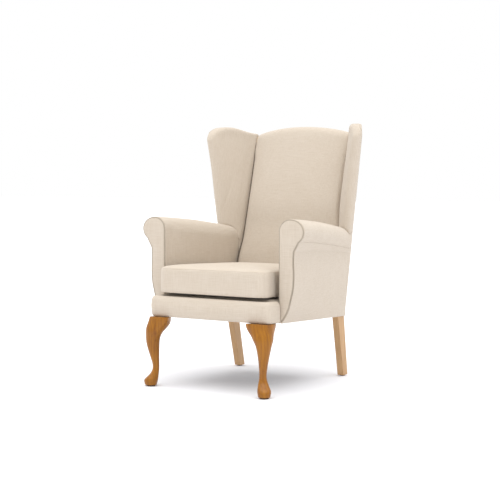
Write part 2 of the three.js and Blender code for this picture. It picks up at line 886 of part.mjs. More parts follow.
function borderForm(inset, hBottom, yRear = 0) {
  const [low, high, top] = borderProfileShares.map(([up, inward]) => {
    return [borderHeight * up, borderEdgeRadius * inward];
  });
  top[0] -= inset;
  const deck = borderDeckShares.map(([up, inward]) => {
    return [THREE.MathUtils.lerp(borderHeight, deckHeight, up) - inset, borderEdgeRadius * inward];
  });
  const levels = [[hBottom, low[1]], low, [borderHeight / 2, -borderBulge], high, top, ...deck];
  const rings = levels.map(([h, drawn]) => {
    const outline = borderOutline(inset + drawn);
    outline[outline.length - 1].y += yRear;
    outline[outline.length - 2].y += yRear;
    return outline.map((p) => new THREE.Vector3(p.x, p.y, seatZ(p.y, h)));
  });
  return toSolid(loft(rings));
}

// Seat cushion: a crowned box in the raked plane of the seat, narrower at the back

const cushionProjection = borderProjection - cushionSetback;
const cushionRearY = creaseSeat.y - cushionRearClearance;
const cushionDepth = cushionProjection + cushionRearY;

function cushionOutline(inset) {
  const frontY = inset - cushionProjection;
  const rearY = cushionRearY - inset;
  const frontHalf = innerX(0) - cushionSideClearanceFront - inset;
  const rearHalf = innerX(rearY) - cushionSideClearanceRear - inset;
  const rf = cushionCornerRadius - inset;
  const rr = cushionRearCornerRadius - inset;
  const rearCorner = arcPoints(new THREE.Vector2(rearHalf - rr, rearY - rr), rr, rr, rearCornerAngles);
  const frontCorner = arcPoints(new THREE.Vector2(frontHalf - rf, frontY + rf), rf, rf, frontCornerAngles);
  const sides = cushionSideShares.map((share) => {
    const x = THREE.MathUtils.lerp(frontHalf, rearHalf, share) - cushionDrawIn;
    return new THREE.Vector2(x, THREE.MathUtils.lerp(frontY, rearY, share));
  });
  const { across, bulge } = cushionFrontShares;
  const middle = [
    new THREE.Vector2(0, frontY - cushionBulge),
    new THREE.Vector2(frontHalf * across, frontY - cushionBulge * bulge),
  ];
  const right = [...middle, ...frontCorner, ...sides, ...rearCorner];
  const left = right.slice(1).map((p) => new THREE.Vector2(-p.x, p.y)).reverse();
  return [...right, ...left];
}

function cushionForm(inset) {
  const outline = cushionOutline(inset);
  const halfWidth = innerX(0) - cushionSideClearanceFront;
  const halfDepth = cushionDepth / 2;
  const centreY = cushionRearY - halfDepth;
  const low = cushionHeight + inset;
  const high = cushionHeight + cushionBorderHeight - inset;
  const edge = cushionEdgeRadius;
  const levels = [
    ...cushionLowerEdgeShares.map(([up, inward]) => [low + edge * up, edge * inward]),
    [(low + high) / 2, -cushionBulge],
    ...cushionUpperEdgeShares.map(([up, inward]) => [high + edge * up, edge * inward]),
    ...cushionCrownShares.map(([up, inward]) => [high + cushionCrown * up, halfDepth * inward]),
  ];
  const rings = levels.map(([h, drawn]) => outline.map((p) => {
    const x = p.x * (1 - drawn / halfWidth);
    const y = centreY + (p.y - centreY) * (1 - drawn / halfDepth);
    return new THREE.Vector3(x, y, seatZ(y, h));
  }));
  return toSolid(loft(rings));
}

const zipHeight = cushionHeight + cushionBorderHeight / 2;

function zipCutter(clearance) {
  const half = zipLength / 2 - clearance;
  const outline = rectangle(-half, half, cushionRearY - overrun, cushionRearY + overrun);
  const reach = zipWidth / 2 - clearance;
  return toSolid(seatSlab(outline, zipHeight - reach, zipHeight + reach));
}

function cushionShell() {
  return cushionForm(0).subtract(cushionForm(coverThickness));
}

// The slider starts at one end of the zip and hangs its pull over the border below it.

function zipSlider() {
  const front = cushionRearY + cushionBulge + gap;
  const x = zipLength / 2 - sliderLength;
  const body = seatSlab(rectangle(x, x + sliderLength, front, front + sliderThickness),
    zipHeight - sliderHeight / 2, zipHeight + sliderHeight / 2);
  const middle = x + sliderLength / 2;
  const pull = seatSlab(rectangle(middle - pullWidth / 2, middle + pullWidth / 2,
    front + sliderThickness - pullThickness, front + sliderThickness),
    zipHeight - pullLength, zipHeight);
  return toSolid(body).add(toSolid(pull));
}

// Front leg: rings up the cabriole, turned so that its outward diagonal is +X of its own frame

const legSideCount = 16;
const legAxisX = borderHalfWidth - legInset;
const legAxisY = borderProjection - legSetback;

function legRing([up, outer, inner, wide, widest, power]) {
  const out = outer * legReach;
  const back = inner * legReach;
  const half = wide * legKneeHalfWidth;
  const centre = THREE.MathUtils.lerp(back, out, widest);
  const z = Math.max(up * seatBottomHeight, frontGlideHeight + gap);
  return Array.from({ length: legSideCount }, (unused, i) => {
    const angle = i / legSideCount * Math.PI * 2;
    const cos = Math.cos(angle);
    const sin = Math.sin(angle);
    const reach = cos > 0 ? out - centre : centre - back;
    const along = centre + reach * Math.sign(cos) * Math.abs(cos) ** (2 / power);
    const across = half * Math.sign(sin) * Math.abs(sin) ** (2 / power);
    const turn = Math.SQRT1_2;
    return new THREE.Vector3(legAxisX + (along - across) * turn, -legAxisY - (along + across) * turn, z);
  });
}

const boltX = legAxisX - legBoltInset * Math.SQRT1_2;
const boltY = legBoltInset * Math.SQRT1_2 - legAxisY;
const boltZ = seatZ(boltY, 0);

function legBolt(grow = 0) {
  const bottom = -legBoltDepth - grow;
  const top = legBoltHeight + grow;
  const profile = [
    new THREE.Vector2(0, bottom),
    new THREE.Vector2(legBoltRadius + grow, bottom),
    new THREE.Vector2(legBoltRadius + grow, top),
    new THREE.Vector2(0, top),
  ];
  const geometry = new THREE.LatheGeometry(profile, 12);
  geometry.rotateX(Math.PI / 2);
  geometry.translate(boltX, boltY, boltZ);
  return toSolid(facingOut(BufferGeometryUtils.mergeVertices(geometry)));
}

function frontLeg() {
  const body = toSolid(loft([...legProfileShares].reverse().map(legRing)));
  return body.subtract(aboveSeatBottom(-gap)).subtract(legBolt(gap));
}

function aboveSeatBottom(h) {
  return toSolid(seatSlab(rectangle(-seatLength, seatLength, -seatLength, seatLength * 2), h, seatLength));
}

function glide(x, y, radius, height) {
  const edge = height / 4;
  const profile = [
    new THREE.Vector2(0, 0),
    new THREE.Vector2(radius - edge, 0),
    new THREE.Vector2(radius, edge),
    new THREE.Vector2(radius, height),
    new THREE.Vector2(0, height),
  ];
  const geometry = new THREE.LatheGeometry(profile, 16);
  geometry.rotateX(Math.PI / 2);
  geometry.translate(x, y, 0);
  return toSolid(facingOut(BufferGeometryUtils.mergeVertices(geometry)));
}

// Webbing

const seatWebPitch = (railOuterFront - railThickness) * seatWebPitchShare;

function seatWeb(i) {
  const x = (i - (seatWebCount - 1) / 2) * seatWebPitch;
  const rear = rearRailFront(seatZ(armLength, railHeight)) + railThickness - gap;
  const outline = rectangle(x - webWidth / 2, x + webWidth / 2, frontRailFront, rear);
  return toSolid(seatSlab(outline, webHeight, webHeight + webThickness));
}

function backWeb(i, grow = 0) {
  const share = (i + backWebStartShare) / backWebCount;
  const z = THREE.MathUtils.lerp(lowerRailZ + lowerRailHeight, topRailZ, share);
  const half = postInner + backWebLap + grow;
  return toSolid(rakedBar(-half, half, z - webWidth / 2 - grow, z + webWidth / 2 + grow,
    (at) => postFrontY(at) - gap - webThickness - grow, (at) => postFrontY(at) - gap + grow));
}

// Platform: the felt pad over the webbing and the cloth under the cushion

function platformOutline() {
  const front = frontRailRear + gap;
  const rear = postFrontY(seatZ(armLength, deckHeight)) - gap;
  const side = (y) => innerX(Math.max(y, 0)) - gap - gap;
  return [
    new THREE.Vector2(-side(front), front),
    new THREE.Vector2(side(front), front),
    new THREE.Vector2(side(0), 0),
    new THREE.Vector2(side(rear), rear),
    new THREE.Vector2(-side(rear), rear),
    new THREE.Vector2(-side(0), 0),
  ];
}

function platform(hFrom, hTo) {
  return toSolid(seatSlab(platformOutline(), hFrom, hTo)).subtract(wholeFrame);
}

function dustCover() {
  const front = frontRailRear + gap;
  const rear = rearRailFront(backFootZ) - gap;
  const sideFront = railOuterFront - railThickness - gap;
  const sideRear = innerX(armLength) - gap - gap - railThickness - gap;
  const outline = [
    new THREE.Vector2(-sideFront, front),
    new THREE.Vector2(sideFront, front),
    new THREE.Vector2(sideRear, rear),
    new THREE.Vector2(-sideRear, rear),
  ];
  return toSolid(seatSlab(outline, 0, dustCoverThickness));
}

// Arm facing and piping, both on the front of the arm

const pipingStepCount = 44;
const pipingSideAngles = { from: 0, to: 315, steps: 7 };

function pipingPath() {
  const outline = armOutline(0, -pipingRadius);
  const [start, ...rest] = outline;
  const bottom = start.y + pipingTailClearance;
  const tail = rest[0].clone().add(rest[1]).divideScalar(2);
  const route = [tail, ...rest.slice(1), new THREE.Vector2(start.x, bottom)];
  const depth = -pipingRadius - gap;
  const points = route.map((p) => new THREE.Vector3(p.x, depth, p.y));
  return new THREE.CatmullRomCurve3(points, false, 'centripetal');
}

function piping(grow = 0) {
  const radius = pipingRadius + grow;
  const section = new THREE.Shape(arcPoints(new THREE.Vector2(0, 0), radius, radius, pipingSideAngles));
  const options = { steps: pipingStepCount, bevelEnabled: false, extrudePath: pipingPath() };
  return toSolid(facingOut(BufferGeometryUtils.mergeVertices(bareGeometry(section, options))));
}

function bareGeometry(section, options) {
  const geometry = new THREE.ExtrudeGeometry(section, options);
  geometry.deleteAttribute('normal');
  geometry.deleteAttribute('uv');
  return geometry;
}

function armFacing() {
  const outline = armOutline(0, -pipingRadius);
  const rings = [-facingThickness, -gap].map((y) => outline.map((p) => new THREE.Vector3(p.x, y, p.y)));
  return largestBody(toSolid(loft(rings)).subtract(piping(gap)));
}

// Soft pieces are cut out by the frame that they wrap

function bothSides(solid) {
  return solid.add(toSolid(mirrored(toGeometry(solid))));
}

const sideFrame = joined([
  sideRail(gap),
  backPost(gap),
  armFrontBoard(gap),
  armRail(gap),
  wingBoard(gap),
]);
const backWebs = Array.from({ length: backWebCount }, (unused, i) => backWeb(i, gap));
const crossFrame = joined([
  frontRail(gap),
  rearRail(gap),
  backRail(topRailZ, topRailHeight, gap),
  backRail(lowerRailZ, lowerRailHeight, gap),
  ...backWebs,
]);
const sidePocket = sideFrame.add(crossFrame);
const wholeFrame = bothSides(sideFrame).add(crossFrame);

// Seam of the arm covers: the outside panel reaches up to the neck under the roll.

function outsideArmSide(clearance) {
  const rings = [-overrun, armLength + overrun].map((y) => {
    const { points, neckZ } = armSection(y < 0 ? 0 : 1);
    const split = (points[0].x + points[1].x) / 2 + clearance;
    return rectangle(split, split + seatLength, -overrun, neckZ - clearance)
      .map((p) => new THREE.Vector3(p.x, y, p.y));
  });
  return toSolid(loft(rings));
}

function armShell() {
  const inner = armForm(-coverThickness, { frontY: -gap, rearY: armLength, bottomDistance: gap });
  return armForm(0, { rearY: armLength - gap })
    .subtract(inner)
    .subtract(sidePocket)
    .intersect(inFrontOfBack(backSkin));
}

// Seam of the wing covers: the outside panel starts at the outside of the nose.

function outsideWingSide(clearance) {
  const levels = [0, wingFootZ, creaseArm.z, noseLow.z, noseMiddle.z, noseTop.z, overallHeight + overrun];
  const rings = levels.map((z) => {
    const nose = placeAt(noseLine, Math.max(z, wingFootZ));
    const start = new THREE.Vector2(nose.x, nose.y + clearance);
    const end = new THREE.Vector2(casingHalfWidth - noseRadius + clearance, backPlaneY(z) + overrun);
    const low = new THREE.Vector2(end.x, armLength);
    const high = start.clone().lerp(end, wingSeamBendShare).sub(new THREE.Vector2(gap, 0));
    const bend = z > creaseArm.z ? high : low;
    const outline = [start, new THREE.Vector2(nose.x + seatLength, start.y),
      new THREE.Vector2(nose.x + seatLength, end.y), end, bend];
    return outline.map((p) => new THREE.Vector3(p.x, p.y, z));
  });
  return toSolid(loft(rings));
}

function wingShell() {
  const inner = wingForm(-coverThickness, gap, gap, gap);
  return wingForm(0, 0, 0, 0)
    .subtract(armSeat())
    .subtract(inner)
    .subtract(sidePocket)
    .subtract(seatWell());
}

// The well of the seat, between the arms.

function insideSeat() {
  const side = (y) => innerX(y) + gap;
  const outline = [
    new THREE.Vector2(-side(-overrun), -overrun),
    new THREE.Vector2(side(-overrun), -overrun),
    new THREE.Vector2(side(armLength + seatLength), armLength + seatLength),
    new THREE.Vector2(-side(armLength + seatLength), armLength + seatLength),
  ];
  return toSolid(seatSlab(outline, -seatLength, seatLength));
}

// What fills the well up to the deck, with room for the back and the wings to stand on it.

function seatWell() {
  return belowDeck(deckHeight + gap).intersect(insideSeat());
}

// The space behind the back webbing, between the posts and the rails.

function backCavity() {
  const half = casingHalfWidth;
  return toSolid(rakedBar(-half, half, -overrun, postTopHeight + gap,
    (z) => postFrontY(z) - gap - webThickness - gap, () => armLength + seatLength));
}

function backPad() {
  return backForm(-coverThickness - gap, 0, gap)
    .subtract(backCavity())
    .subtract(crossFrame)
    .subtract(belowDeck(deckHeight + gap));
}

function insideBack() {
  return backForm(0, 0, 0)
    .subtract(backForm(-coverThickness, overrun, -gap))
    .subtract(crossFrame)
    .subtract(belowDeck(deckHeight + gap));
}

const outsideBackShares = [0.3, 0.6];

function outsideBack() {
  const edge = casingHalfWidth;
  const rearLift = wingTopZ(backPlaneY(creaseTop.z)) - creaseTop.z;
  const ring = (share, low) => {
    const lift = low ? 0 : backTopCrown * Math.max(0, 1 - (share * edge / creaseTop.x) ** 2);
    const side = Math.abs(share) === 1 ? rearLift : 0;
    return low ? backFootZ : creaseTop.z + lift + side;
  };
  const half = [0, ...outsideBackShares, creaseTop.x / edge, 1];
  const shares = [...half.slice(1).map((share) => -share).reverse(), ...half];
  const rings = shares.map((share) => {
    const corner = (z, depth) => new THREE.Vector3(share * edge, backPlaneY(z) - depth, z);
    const low = ring(share, true);
    const high = ring(share, false);
    return [corner(low, coverThickness), corner(low, 0), corner(high, 0), corner(high, coverThickness)];
  });
  return toSolid(loft(rings));
}

function wingPad() {
  const form = wingForm(-coverThickness - gap, 0, -gap, 0);
  return largestBody(form.subtract(armSeat()).subtract(sidePocket).subtract(seatWell()));
}

function armPad() {
  const form = armForm(-coverThickness - gap, { frontY: gap, rearY: armLength - gap, bottomDistance: 0 });
  return largestBody(form.subtract(sidePocket).intersect(inFrontOfBack(backSkin)));
}

const behindFrontRail = rectangle(-seatHalfWidthFront, seatHalfWidthFront, frontRailRear, overrun);
const borderPocket = bothSides(sideRail(gap))
  .add(frontRail(gap))
  .add(toSolid(seatSlab(behindFrontRail, -overrun, seatLength)));

function borderPad() {
  const form = borderForm(coverThickness + gap, 0);
  return largestBody(form.subtract(borderPocket).subtract(seatWebCutter()));
}

function borderCover() {
  const inner = borderForm(coverThickness, -overrun, overrun);
  return largestBody(borderForm(0, 0).subtract(inner).subtract(borderPocket));
}

function seatWebCutter() {
  const half = (seatWebCount / 2) * seatWebPitch;
  const outline = rectangle(-half - gap, half + gap, frontRailFront - gap, overrun);
  return toSolid(seatSlab(outline, railHeight - gap, webHeight + webThickness + gap));
}

// Materials

function surface(color, roughness, metalness = 0) {
  return new THREE.MeshStandardMaterial({ color, roughness, metalness });
}

const fabric = surface(0xe9dcc8, 0.95);
const pipingFabric = surface(0xd9cab4, 0.95);
const honeyWood = surface(0xc98f45, 0.4);
const paleWood = surface(0xdcb083, 0.5);
const frameWood = surface(0xd8c09a, 0.7);
const foam = surface(0xf2efe2, 0.9);
const webbing = surface(0x5b4a3a, 0.9);
const blackCloth = surface(0x2a2a2c, 0.95);
const glidePlastic = surface(0x3b332b, 0.5);
const steel = surface(0xb9bcc0, 0.35, 0.9);
const zipCloth = surface(0xd8cbb6, 0.8);

// The chair

const chair = new THREE.Group();

function add(name, solid, material) {
  const mesh = new THREE.Mesh(toGeometry(solid), material);
  mesh.name = name;
  chair.add(mesh);
}

function addPair(name, solid, material) {
  add(`${name}_right`, solid, material);
  const mesh = new THREE.Mesh(mirrored(toGeometry(solid)), material);
  mesh.name = `${name}_left`;
  chair.add(mesh);
}

add('front_rail', frontRail().subtract(bothSides(legBolt(gap))), frameWood);
add('rear_rail', rearRail(), frameWood);
addPair('side_rail', sideRail(), frameWood);
addPair('corner_block', cornerBlock(), frameWood);
addPair('back_post', backPost(), paleWood);
add('top_back_rail', backRail(topRailZ, topRailHeight), frameWood);
add('lower_back_rail', backRail(lowerRailZ, lowerRailHeight), frameWood);
addPair('arm_front_board', armFrontBoard(), frameWood);
addPair('arm_rail', armRail(), frameWood);
addPair('wing_board', wingBoard().subtract(armRail(gap)), frameWood);

addPair('front_leg', frontLeg(), honeyWood);
addPair('leg_bolt', legBolt(), steel);
const footReach = legReach * legFootCentreShare * Math.SQRT1_2;
const rearFootX = postInner - rearFootInset + postWidth / 2;
const frontGlide = glide(legAxisX + footReach, -legAxisY - footReach, frontGlideRadius, frontGlideHeight);
addPair('front_glide', frontGlide, glidePlastic);
addPair('rear_glide', glide(rearFootX, rearFootCentre, rearGlideRadius, rearGlideHeight), glidePlastic);

for (let i = 0; i < seatWebCount; i += 1) {
  add(`seat_web_${i + 1}`, seatWeb(i), webbing);
}
for (let i = 0; i < backWebCount; i += 1) {
  add(`back_web_${i + 1}`, backWeb(i), webbing);
}
add('platform_pad', platform(platformPadHeight, platformPadHeight + platformPadThickness), foam);
add('platform_cloth', platform(platformClothHeight, deckHeight), fabric);
add('dust_cover', dustCover(), blackCloth);

add('border_pad', borderPad(), foam);
add('border_cover', borderCover(), fabric);

addPair('arm_pad', armPad(), foam);
const shell = armShell();
addPair('inside_arm', largestBody(shell.subtract(outsideArmSide(-gap / 2))), fabric);
addPair('outside_arm', largestBody(shell.intersect(outsideArmSide(gap / 2))), fabric);
addPair('arm_facing', armFacing(), fabric);
addPair('arm_piping', piping(), pipingFabric);

addPair('wing_pad', wingPad(), foam);
const wing = wingShell();
addPair('inside_wing', largestBody(wing.subtract(outsideWingSide(-gap / 2))), fabric);
addPair('outside_wing', largestBody(wing.intersect(outsideWingSide(gap / 2))), fabric);

add('back_pad', largestBody(backPad()), foam);
add('inside_back', largestBody(insideBack()), fabric);
add('outside_back', outsideBack(), fabric);

add('cushion_foam', cushionForm(coverThickness + gap), foam);
add('cushion_cover', cushionShell().subtract(zipCutter(0)), fabric);
add('cushion_zip', largestBody(cushionShell().intersect(zipCutter(gap))), zipCloth);
add('zip_slider', zipSlider(), steel);

// The chair is centred over its footprint.

const box = new THREE.Box3().setFromObject(chair);
chair.position.y = -(box.min.y + box.max.y) / 2;

const part = new THREE.Group();
part.add(chair);

export default part;
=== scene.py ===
import math

import bpy
from mathutils import Matrix, Vector, kdtree


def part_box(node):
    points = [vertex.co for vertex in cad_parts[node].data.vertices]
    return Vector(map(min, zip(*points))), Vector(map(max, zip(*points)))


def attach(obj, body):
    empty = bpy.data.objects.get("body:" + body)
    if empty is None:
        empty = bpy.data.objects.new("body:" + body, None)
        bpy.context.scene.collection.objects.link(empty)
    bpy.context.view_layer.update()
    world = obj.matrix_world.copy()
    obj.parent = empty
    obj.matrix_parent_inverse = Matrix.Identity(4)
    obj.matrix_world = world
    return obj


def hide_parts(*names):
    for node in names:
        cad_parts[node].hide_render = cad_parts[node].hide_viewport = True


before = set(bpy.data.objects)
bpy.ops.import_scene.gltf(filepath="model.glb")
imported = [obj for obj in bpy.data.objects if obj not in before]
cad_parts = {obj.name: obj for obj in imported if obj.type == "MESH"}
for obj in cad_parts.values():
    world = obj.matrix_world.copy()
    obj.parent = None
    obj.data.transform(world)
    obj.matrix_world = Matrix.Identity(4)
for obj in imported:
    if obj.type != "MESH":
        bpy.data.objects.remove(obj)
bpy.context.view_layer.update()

bl_info = {
    "name": "Fireside chair",
    "version": (1, 0, 0),
    "blender": (4, 5, 0),
    "location": "View3D > Sidebar > Fireside chair",
    "description": "Upholstery, polished legs and finishes of a wing fireside chair",
    "category": "Object",
}

# The forms below are in millimetres, with y = 0 at the plane of the arm facings, x = 0 at the middle of the
# chair and z = 0 at the floor. The frame has its origin this much further back.
MILLIMETRE = 0.001
FACING_TO_ORIGIN = 267.0

SEAT_HALF_FRONT, SEAT_HALF_REAR = 266.0, 242.0
ARM_LENGTH = 506.0
SEAT_BOTTOM, SEAT_DROP = 275.0, 22.0
BORDER_REACH = 92.0
SEAT_LENGTH = BORDER_REACH + ARM_LENGTH
CASING_HALF = 277.0
RAKE = 0.2
OVERALL_HEIGHT = 1043.0
COVER = 2.0
GAP = 0.3
POST_GAP = 0.45
SEAM_GAP = 0.4
VALLEY_DEPTH, VALLEY_CLEARANCE = 15.0, 4.0
MERGE = 0.00001


# Shared lines of the chair

def lerp(a, b, share):
    return a + (b - a) * share


def smooth(value, low, high):
    t = min(1.0, max(0.0, (value - low) / (high - low)))
    return t * t * (3 - 2 * t)


def seat_z(y, height):
    return SEAT_BOTTOM - SEAT_DROP * (y + BORDER_REACH) / SEAT_LENGTH + height


def back_plane(z):
    return ARM_LENGTH + RAKE * (z - seat_z(ARM_LENGTH, 0))


def inner_x(y):
    return lerp(SEAT_HALF_FRONT, SEAT_HALF_REAR, y / ARM_LENGTH)


def through(rows, steps):
    """A smooth line through rows of numbers, with so many steps from each row to the next."""
    made = []
    for i in range(len(rows) - 1):
        near = [rows[min(max(i + k, 0), len(rows) - 1)] for k in (-1, 0, 1, 2)]
        for step in range(steps):
            t = step / steps
            made.append([
                0.5 * (2 * q + (r - p) * t + (2 * p - 5 * q + 4 * r - w) * t * t
                       + (3 * q - p - 3 * r + w) * t ** 3)
                for p, q, r, w in zip(*near)
            ])
    return made + [list(rows[-1])]


def read_at(table, z):
    """The x and y of a table of (x, y, z) at a height."""
    i = 0
    while i < len(table) - 2 and z > table[i + 1][2]:
        i += 1
    share = (z - table[i][2]) / (table[i + 1][2] - table[i][2])
    return lerp(table[i][0], table[i + 1][0], share), lerp(table[i][1], table[i + 1][1], share)


# Lines up the chair as rows of x, y and height: the crease between wing and back, and the nose of the wing.
# The rows of the posts have their depth first.
CREASES = through([
    (240, 468.7, 349), (240, 469, 458), (235, 526, 603), (230, 551, 734), (228, 633, 1012),
], 8)
NOSES = through([
    (250, 503, 500), (257.5, 501, 540), (275, 488, 565), (292, 478, 590), (309, 470, 630), (336, 467, 855),
    (355, 458, 990),
], 8)
POSTS = [(50, 0, 275), (36, 0, 603), (22, 0, 1000)]


def post_front(z):
    return back_plane(z) - COVER - POST_GAP - read_at(POSTS, z)[0]


def valley(z):
    """How deep the cloth is drawn into the crease, which stays in front of the frame."""
    return min(VALLEY_DEPTH, max(0.0, post_front(z) - read_at(CREASES, z)[1] - VALLEY_CLEARANCE))


def quarter(x, y, radius, start, steps):
    """A quarter circle round (x, y), from a start in degrees."""
    turns = [math.radians(start + 90 * i / steps) for i in range(steps + 1)]
    return [(x + radius * math.cos(a), y + radius * math.sin(a)) for a in turns]


def both_sides(right, rear):
    """A closed outline, from its right half that starts at the middle of the front."""
    return right + [(0.0, rear)] + [(-x, y) for x, y in right[:0:-1]]


# Making meshes

def place(x, y, z):
    return Vector((x, y - FACING_TO_ORIGIN, z)) * MILLIMETRE


def measured(p):
    """The x, y and z of a place, back in millimetres."""
    x, y, z = p / MILLIMETRE
    return x, y + FACING_TO_ORIGIN, z


def new_mesh(name, places, faces):
    mesh = bpy.data.meshes.new(name)
    mesh.from_pydata(places, [], faces)
    mesh.update()
    piece = bpy.data.objects.new(name, mesh)
    bpy.context.scene.collection.objects.link(piece)
    return piece


def alone(piece):
    bpy.ops.object.select_all(action="DESELECT")
    piece.select_set(True)
    bpy.context.view_layer.objects.active = piece


def zipped(count, start, end):
    """Triangles that close a ring of corners across, between the two chains from its start to its end."""
    a = [(start + i) % count for i in range((end - start) % count + 1)]
    b = [(start - i) % count for i in range((start - end) % count + 1)]
    faces, i, j = [], 0, 0
    while i < len(a) - 1 or j < len(b) - 1:
        if j == len(b) - 1 or (i < len(a) - 1 and (i + 1) * (len(b) - 1) <= (j + 1) * (len(a) - 1)):
            corners = (a[i], a[i + 1], b[j])
            i += 1
        else:
            corners = (a[i], b[j + 1], b[j])
            j += 1
        if len(set(corners)) == 3:
            faces.append(corners)
    return faces


def loft(name, rings, flat_ends=False, across=None):
    """A closed body through rings of places. Its ends are flat or closed to their middles; the last may
    be closed across instead, between two corners of its ring."""
    count = len(rings[0])
    places = [p for ring in rings for p in ring]
    faces = []
    for i in range(len(rings) - 1):
        for j in range(count):
            k = (j + 1) % count
            faces.append((i * count + j, i * count + k, (i + 1) * count + k, (i + 1) * count + j))
    for first in (0, (len(rings) - 1) * count):
        if flat_ends:
            faces.append(tuple(range(first, first + count)))
        elif across and first:
            faces += [tuple(first + corner for corner in face) for face in zipped(count, *across)]
        else:
            middle = sum((places[first + j] for j in range(count)), Vector()) / count
            faces += [(first + j, first + (j + 1) % count, len(places)) for j in range(count)]
            places.append(middle)
    piece = new_mesh(name, places, faces)
    face_out(piece)
    return piece


def face_out(piece):
    alone(piece)
    bpy.ops.object.mode_set(mode="EDIT")
    bpy.ops.mesh.select_all(action="SELECT")
    bpy.ops.mesh.remove_doubles(threshold=MERGE)
    bpy.ops.mesh.normals_make_consistent(inside=False)
    bpy.ops.object.mode_set(mode="OBJECT")


def apply(piece, kind, **values):
    """Adds a modifier with these values and applies it."""
    alone(piece)
    made = piece.modifiers.new("shape", kind)
    for key, value in values.items():
        setattr(made, key, value)
    bpy.ops.object.modifier_apply(modifier=made.name)


def soften(piece, turns):
    apply(piece, "SMOOTH", factor=0.5, iterations=turns)


def remesh(piece, voxel, turns):
    """Gives a closed body even faces and softens what steps are left."""
    apply(piece, "REMESH", mode="VOXEL", voxel_size=voxel * MILLIMETRE, adaptivity=0)
    soften(piece, turns)


def shade(piece, degrees=None):
    alone(piece)
    if degrees is None:
        bpy.ops.object.shade_smooth()
    else:
        bpy.ops.object.shade_smooth_by_angle(angle=math.radians(degrees))


def dress(piece, cloth, nodes=(), body="chair"):
    """Gives a piece its finish and its body, and hides the nodes that it stands for."""
    piece.data.materials.clear()
    piece.data.materials.append(finish(cloth))
    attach(piece, body)
    if nodes:
        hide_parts(*nodes)


def dress_pair(piece, cloth, nodes=()):
    """Dresses a right-hand piece, and a mirrored copy of it with its own mesh for the left side."""
    dress(piece, cloth, nodes)
    name = piece.name.replace("right", "left")
    copy = bpy.data.objects.new(name, piece.data.copy())
    copy.data.name = name
    bpy.context.scene.collection.objects.link(copy)
    copy.data.transform(Matrix.Scale(-1, 4, Vector((1, 0, 0))))
    copy.data.flip_normals()
    dress(copy, cloth, [node.replace("right", "left") for node in nodes])


def tube(name, places, radius, closed=False, steps=3):
    """A round cord through places."""
    data = bpy.data.curves.new(name, "CURVE")
    data.dimensions = "3D"
    line = data.splines.new("POLY")
    line.points.add(len(places) - 1)
    for point, where in zip(line.points, places):
        point.co = (*where, 1)
    line.use_cyclic_u = closed
    data.bevel_depth = radius
    data.bevel_resolution = steps
    data.use_fill_caps = True
    piece = bpy.data.objects.new(name, data)
    bpy.context.scene.collection.objects.link(piece)
    alone(piece)
    bpy.ops.object.convert(target="MESH")
    piece = bpy.context.view_layer.objects.active
    piece.name = name
    face_out(piece)
    shade(piece)
    return piece


def panel(name, rows, thickness, rim):
    """A stretched cloth panel: a sheet of places with a wall behind it and turned edges."""
    turned_from, crisp_from = 50, 40
    width = len(rows[0])
    faces = [
        (i * width + j, i * width + j + 1, (i + 1) * width + j + 1, (i + 1) * width + j)
        for i in range(len(rows) - 1)
        for j in range(width - 1)
    ]
    piece = new_mesh(name, [p for row in rows for p in row], faces)
    apply(piece, "SOLIDIFY", thickness=thickness * MILLIMETRE, offset=-1, use_even_offset=True)
    face_out(piece)
    apply(piece, "BEVEL", width=rim * MILLIMETRE, segments=3, limit_method="ANGLE",
          angle_limit=math.radians(turned_from))
    face_out(piece)
    shade(piece, crisp_from)
    return piece


def block(name, centre, size, edge, segments):
    """A small box with bevelled edges, at a place and of a size in metres."""
    bpy.ops.object.select_all(action="DESELECT")
    bpy.ops.mesh.primitive_cube_add(size=1, location=centre)
    piece = bpy.context.active_object
    piece.name = name
    piece.scale = size
    bpy.ops.object.transform_apply(location=True, rotation=False, scale=True)
    apply(piece, "BEVEL", width=edge * MILLIMETRE, segments=segments)
    return piece


def plump(piece, free, cap, pressure, voxel):
    """Fills a closed pad: it is blown up as cloth, held where free is 0, and no point moves past the cap."""
    remesh(piece, voxel, 6)
    start = [v.co.copy() for v in piece.data.vertices]
    loose = [free(*measured(p)) for p in start]
    group = piece.vertex_groups.new(name="held")
    for i, share in enumerate(loose):
        group.add([i], 1 - share, "REPLACE")
    blow_up(piece, pressure)
    limit = cap * MILLIMETRE
    for vertex, p, share in zip(piece.data.vertices, start, loose):
        move = vertex.co - p
        reach = limit * share
        if move.length > 0:
            vertex.co = p + move.normalized() * reach * (1 - math.exp(-move.length / max(reach, 1e-6)))
    soften(piece, 2)
    apply(piece, "SUBSURF", levels=1, render_levels=1)
    face_out(piece)
    shade(piece)


def blow_up(piece, pressure, frames=20):
    """Runs a cloth under pressure, without weight, and keeps the shape that it comes to."""
    alone(piece)
    cloth = piece.modifiers.new("Cloth", "CLOTH")
    cloth.settings.vertex_group_mass = "held"
    cloth.settings.use_pressure = True
    cloth.settings.uniform_pressure_force = pressure
    cloth.settings.quality = 4
    cloth.settings.effector_weights.gravity = 0
    cloth.collision_settings.use_collision = False
    for step in range(1, frames + 1):
        bpy.context.scene.frame_set(step)
    bpy.ops.object.modifier_apply(modifier="Cloth")
    bpy.context.scene.frame_set(1)
    piece.vertex_groups.clear()


# Cloth, wood and metal. Noise and wave scales are per metre.

def node(tree, kind, inputs=None, **settings):
    made = tree.nodes.new(kind)
    for key, value in settings.items():
        setattr(made, key, value)
    for key, value in (inputs or {}).items():
        if isinstance(value, bpy.types.NodeSocket):
            tree.links.new(value, made.inputs[key])
        else:
            made.inputs[key].default_value = value
    return made


def maths(tree, operation, a, b=0.0, clamp=False):
    return node(tree, "ShaderNodeMath", {0: a, 1: b}, operation=operation, use_clamp=clamp).outputs[0]


def times(tree, a, b):
    return maths(tree, "MULTIPLY", a, b)


def total(tree, values):
    made = values[0]
    for value in values[1:]:
        made = maths(tree, "ADD", made, value)
    return made


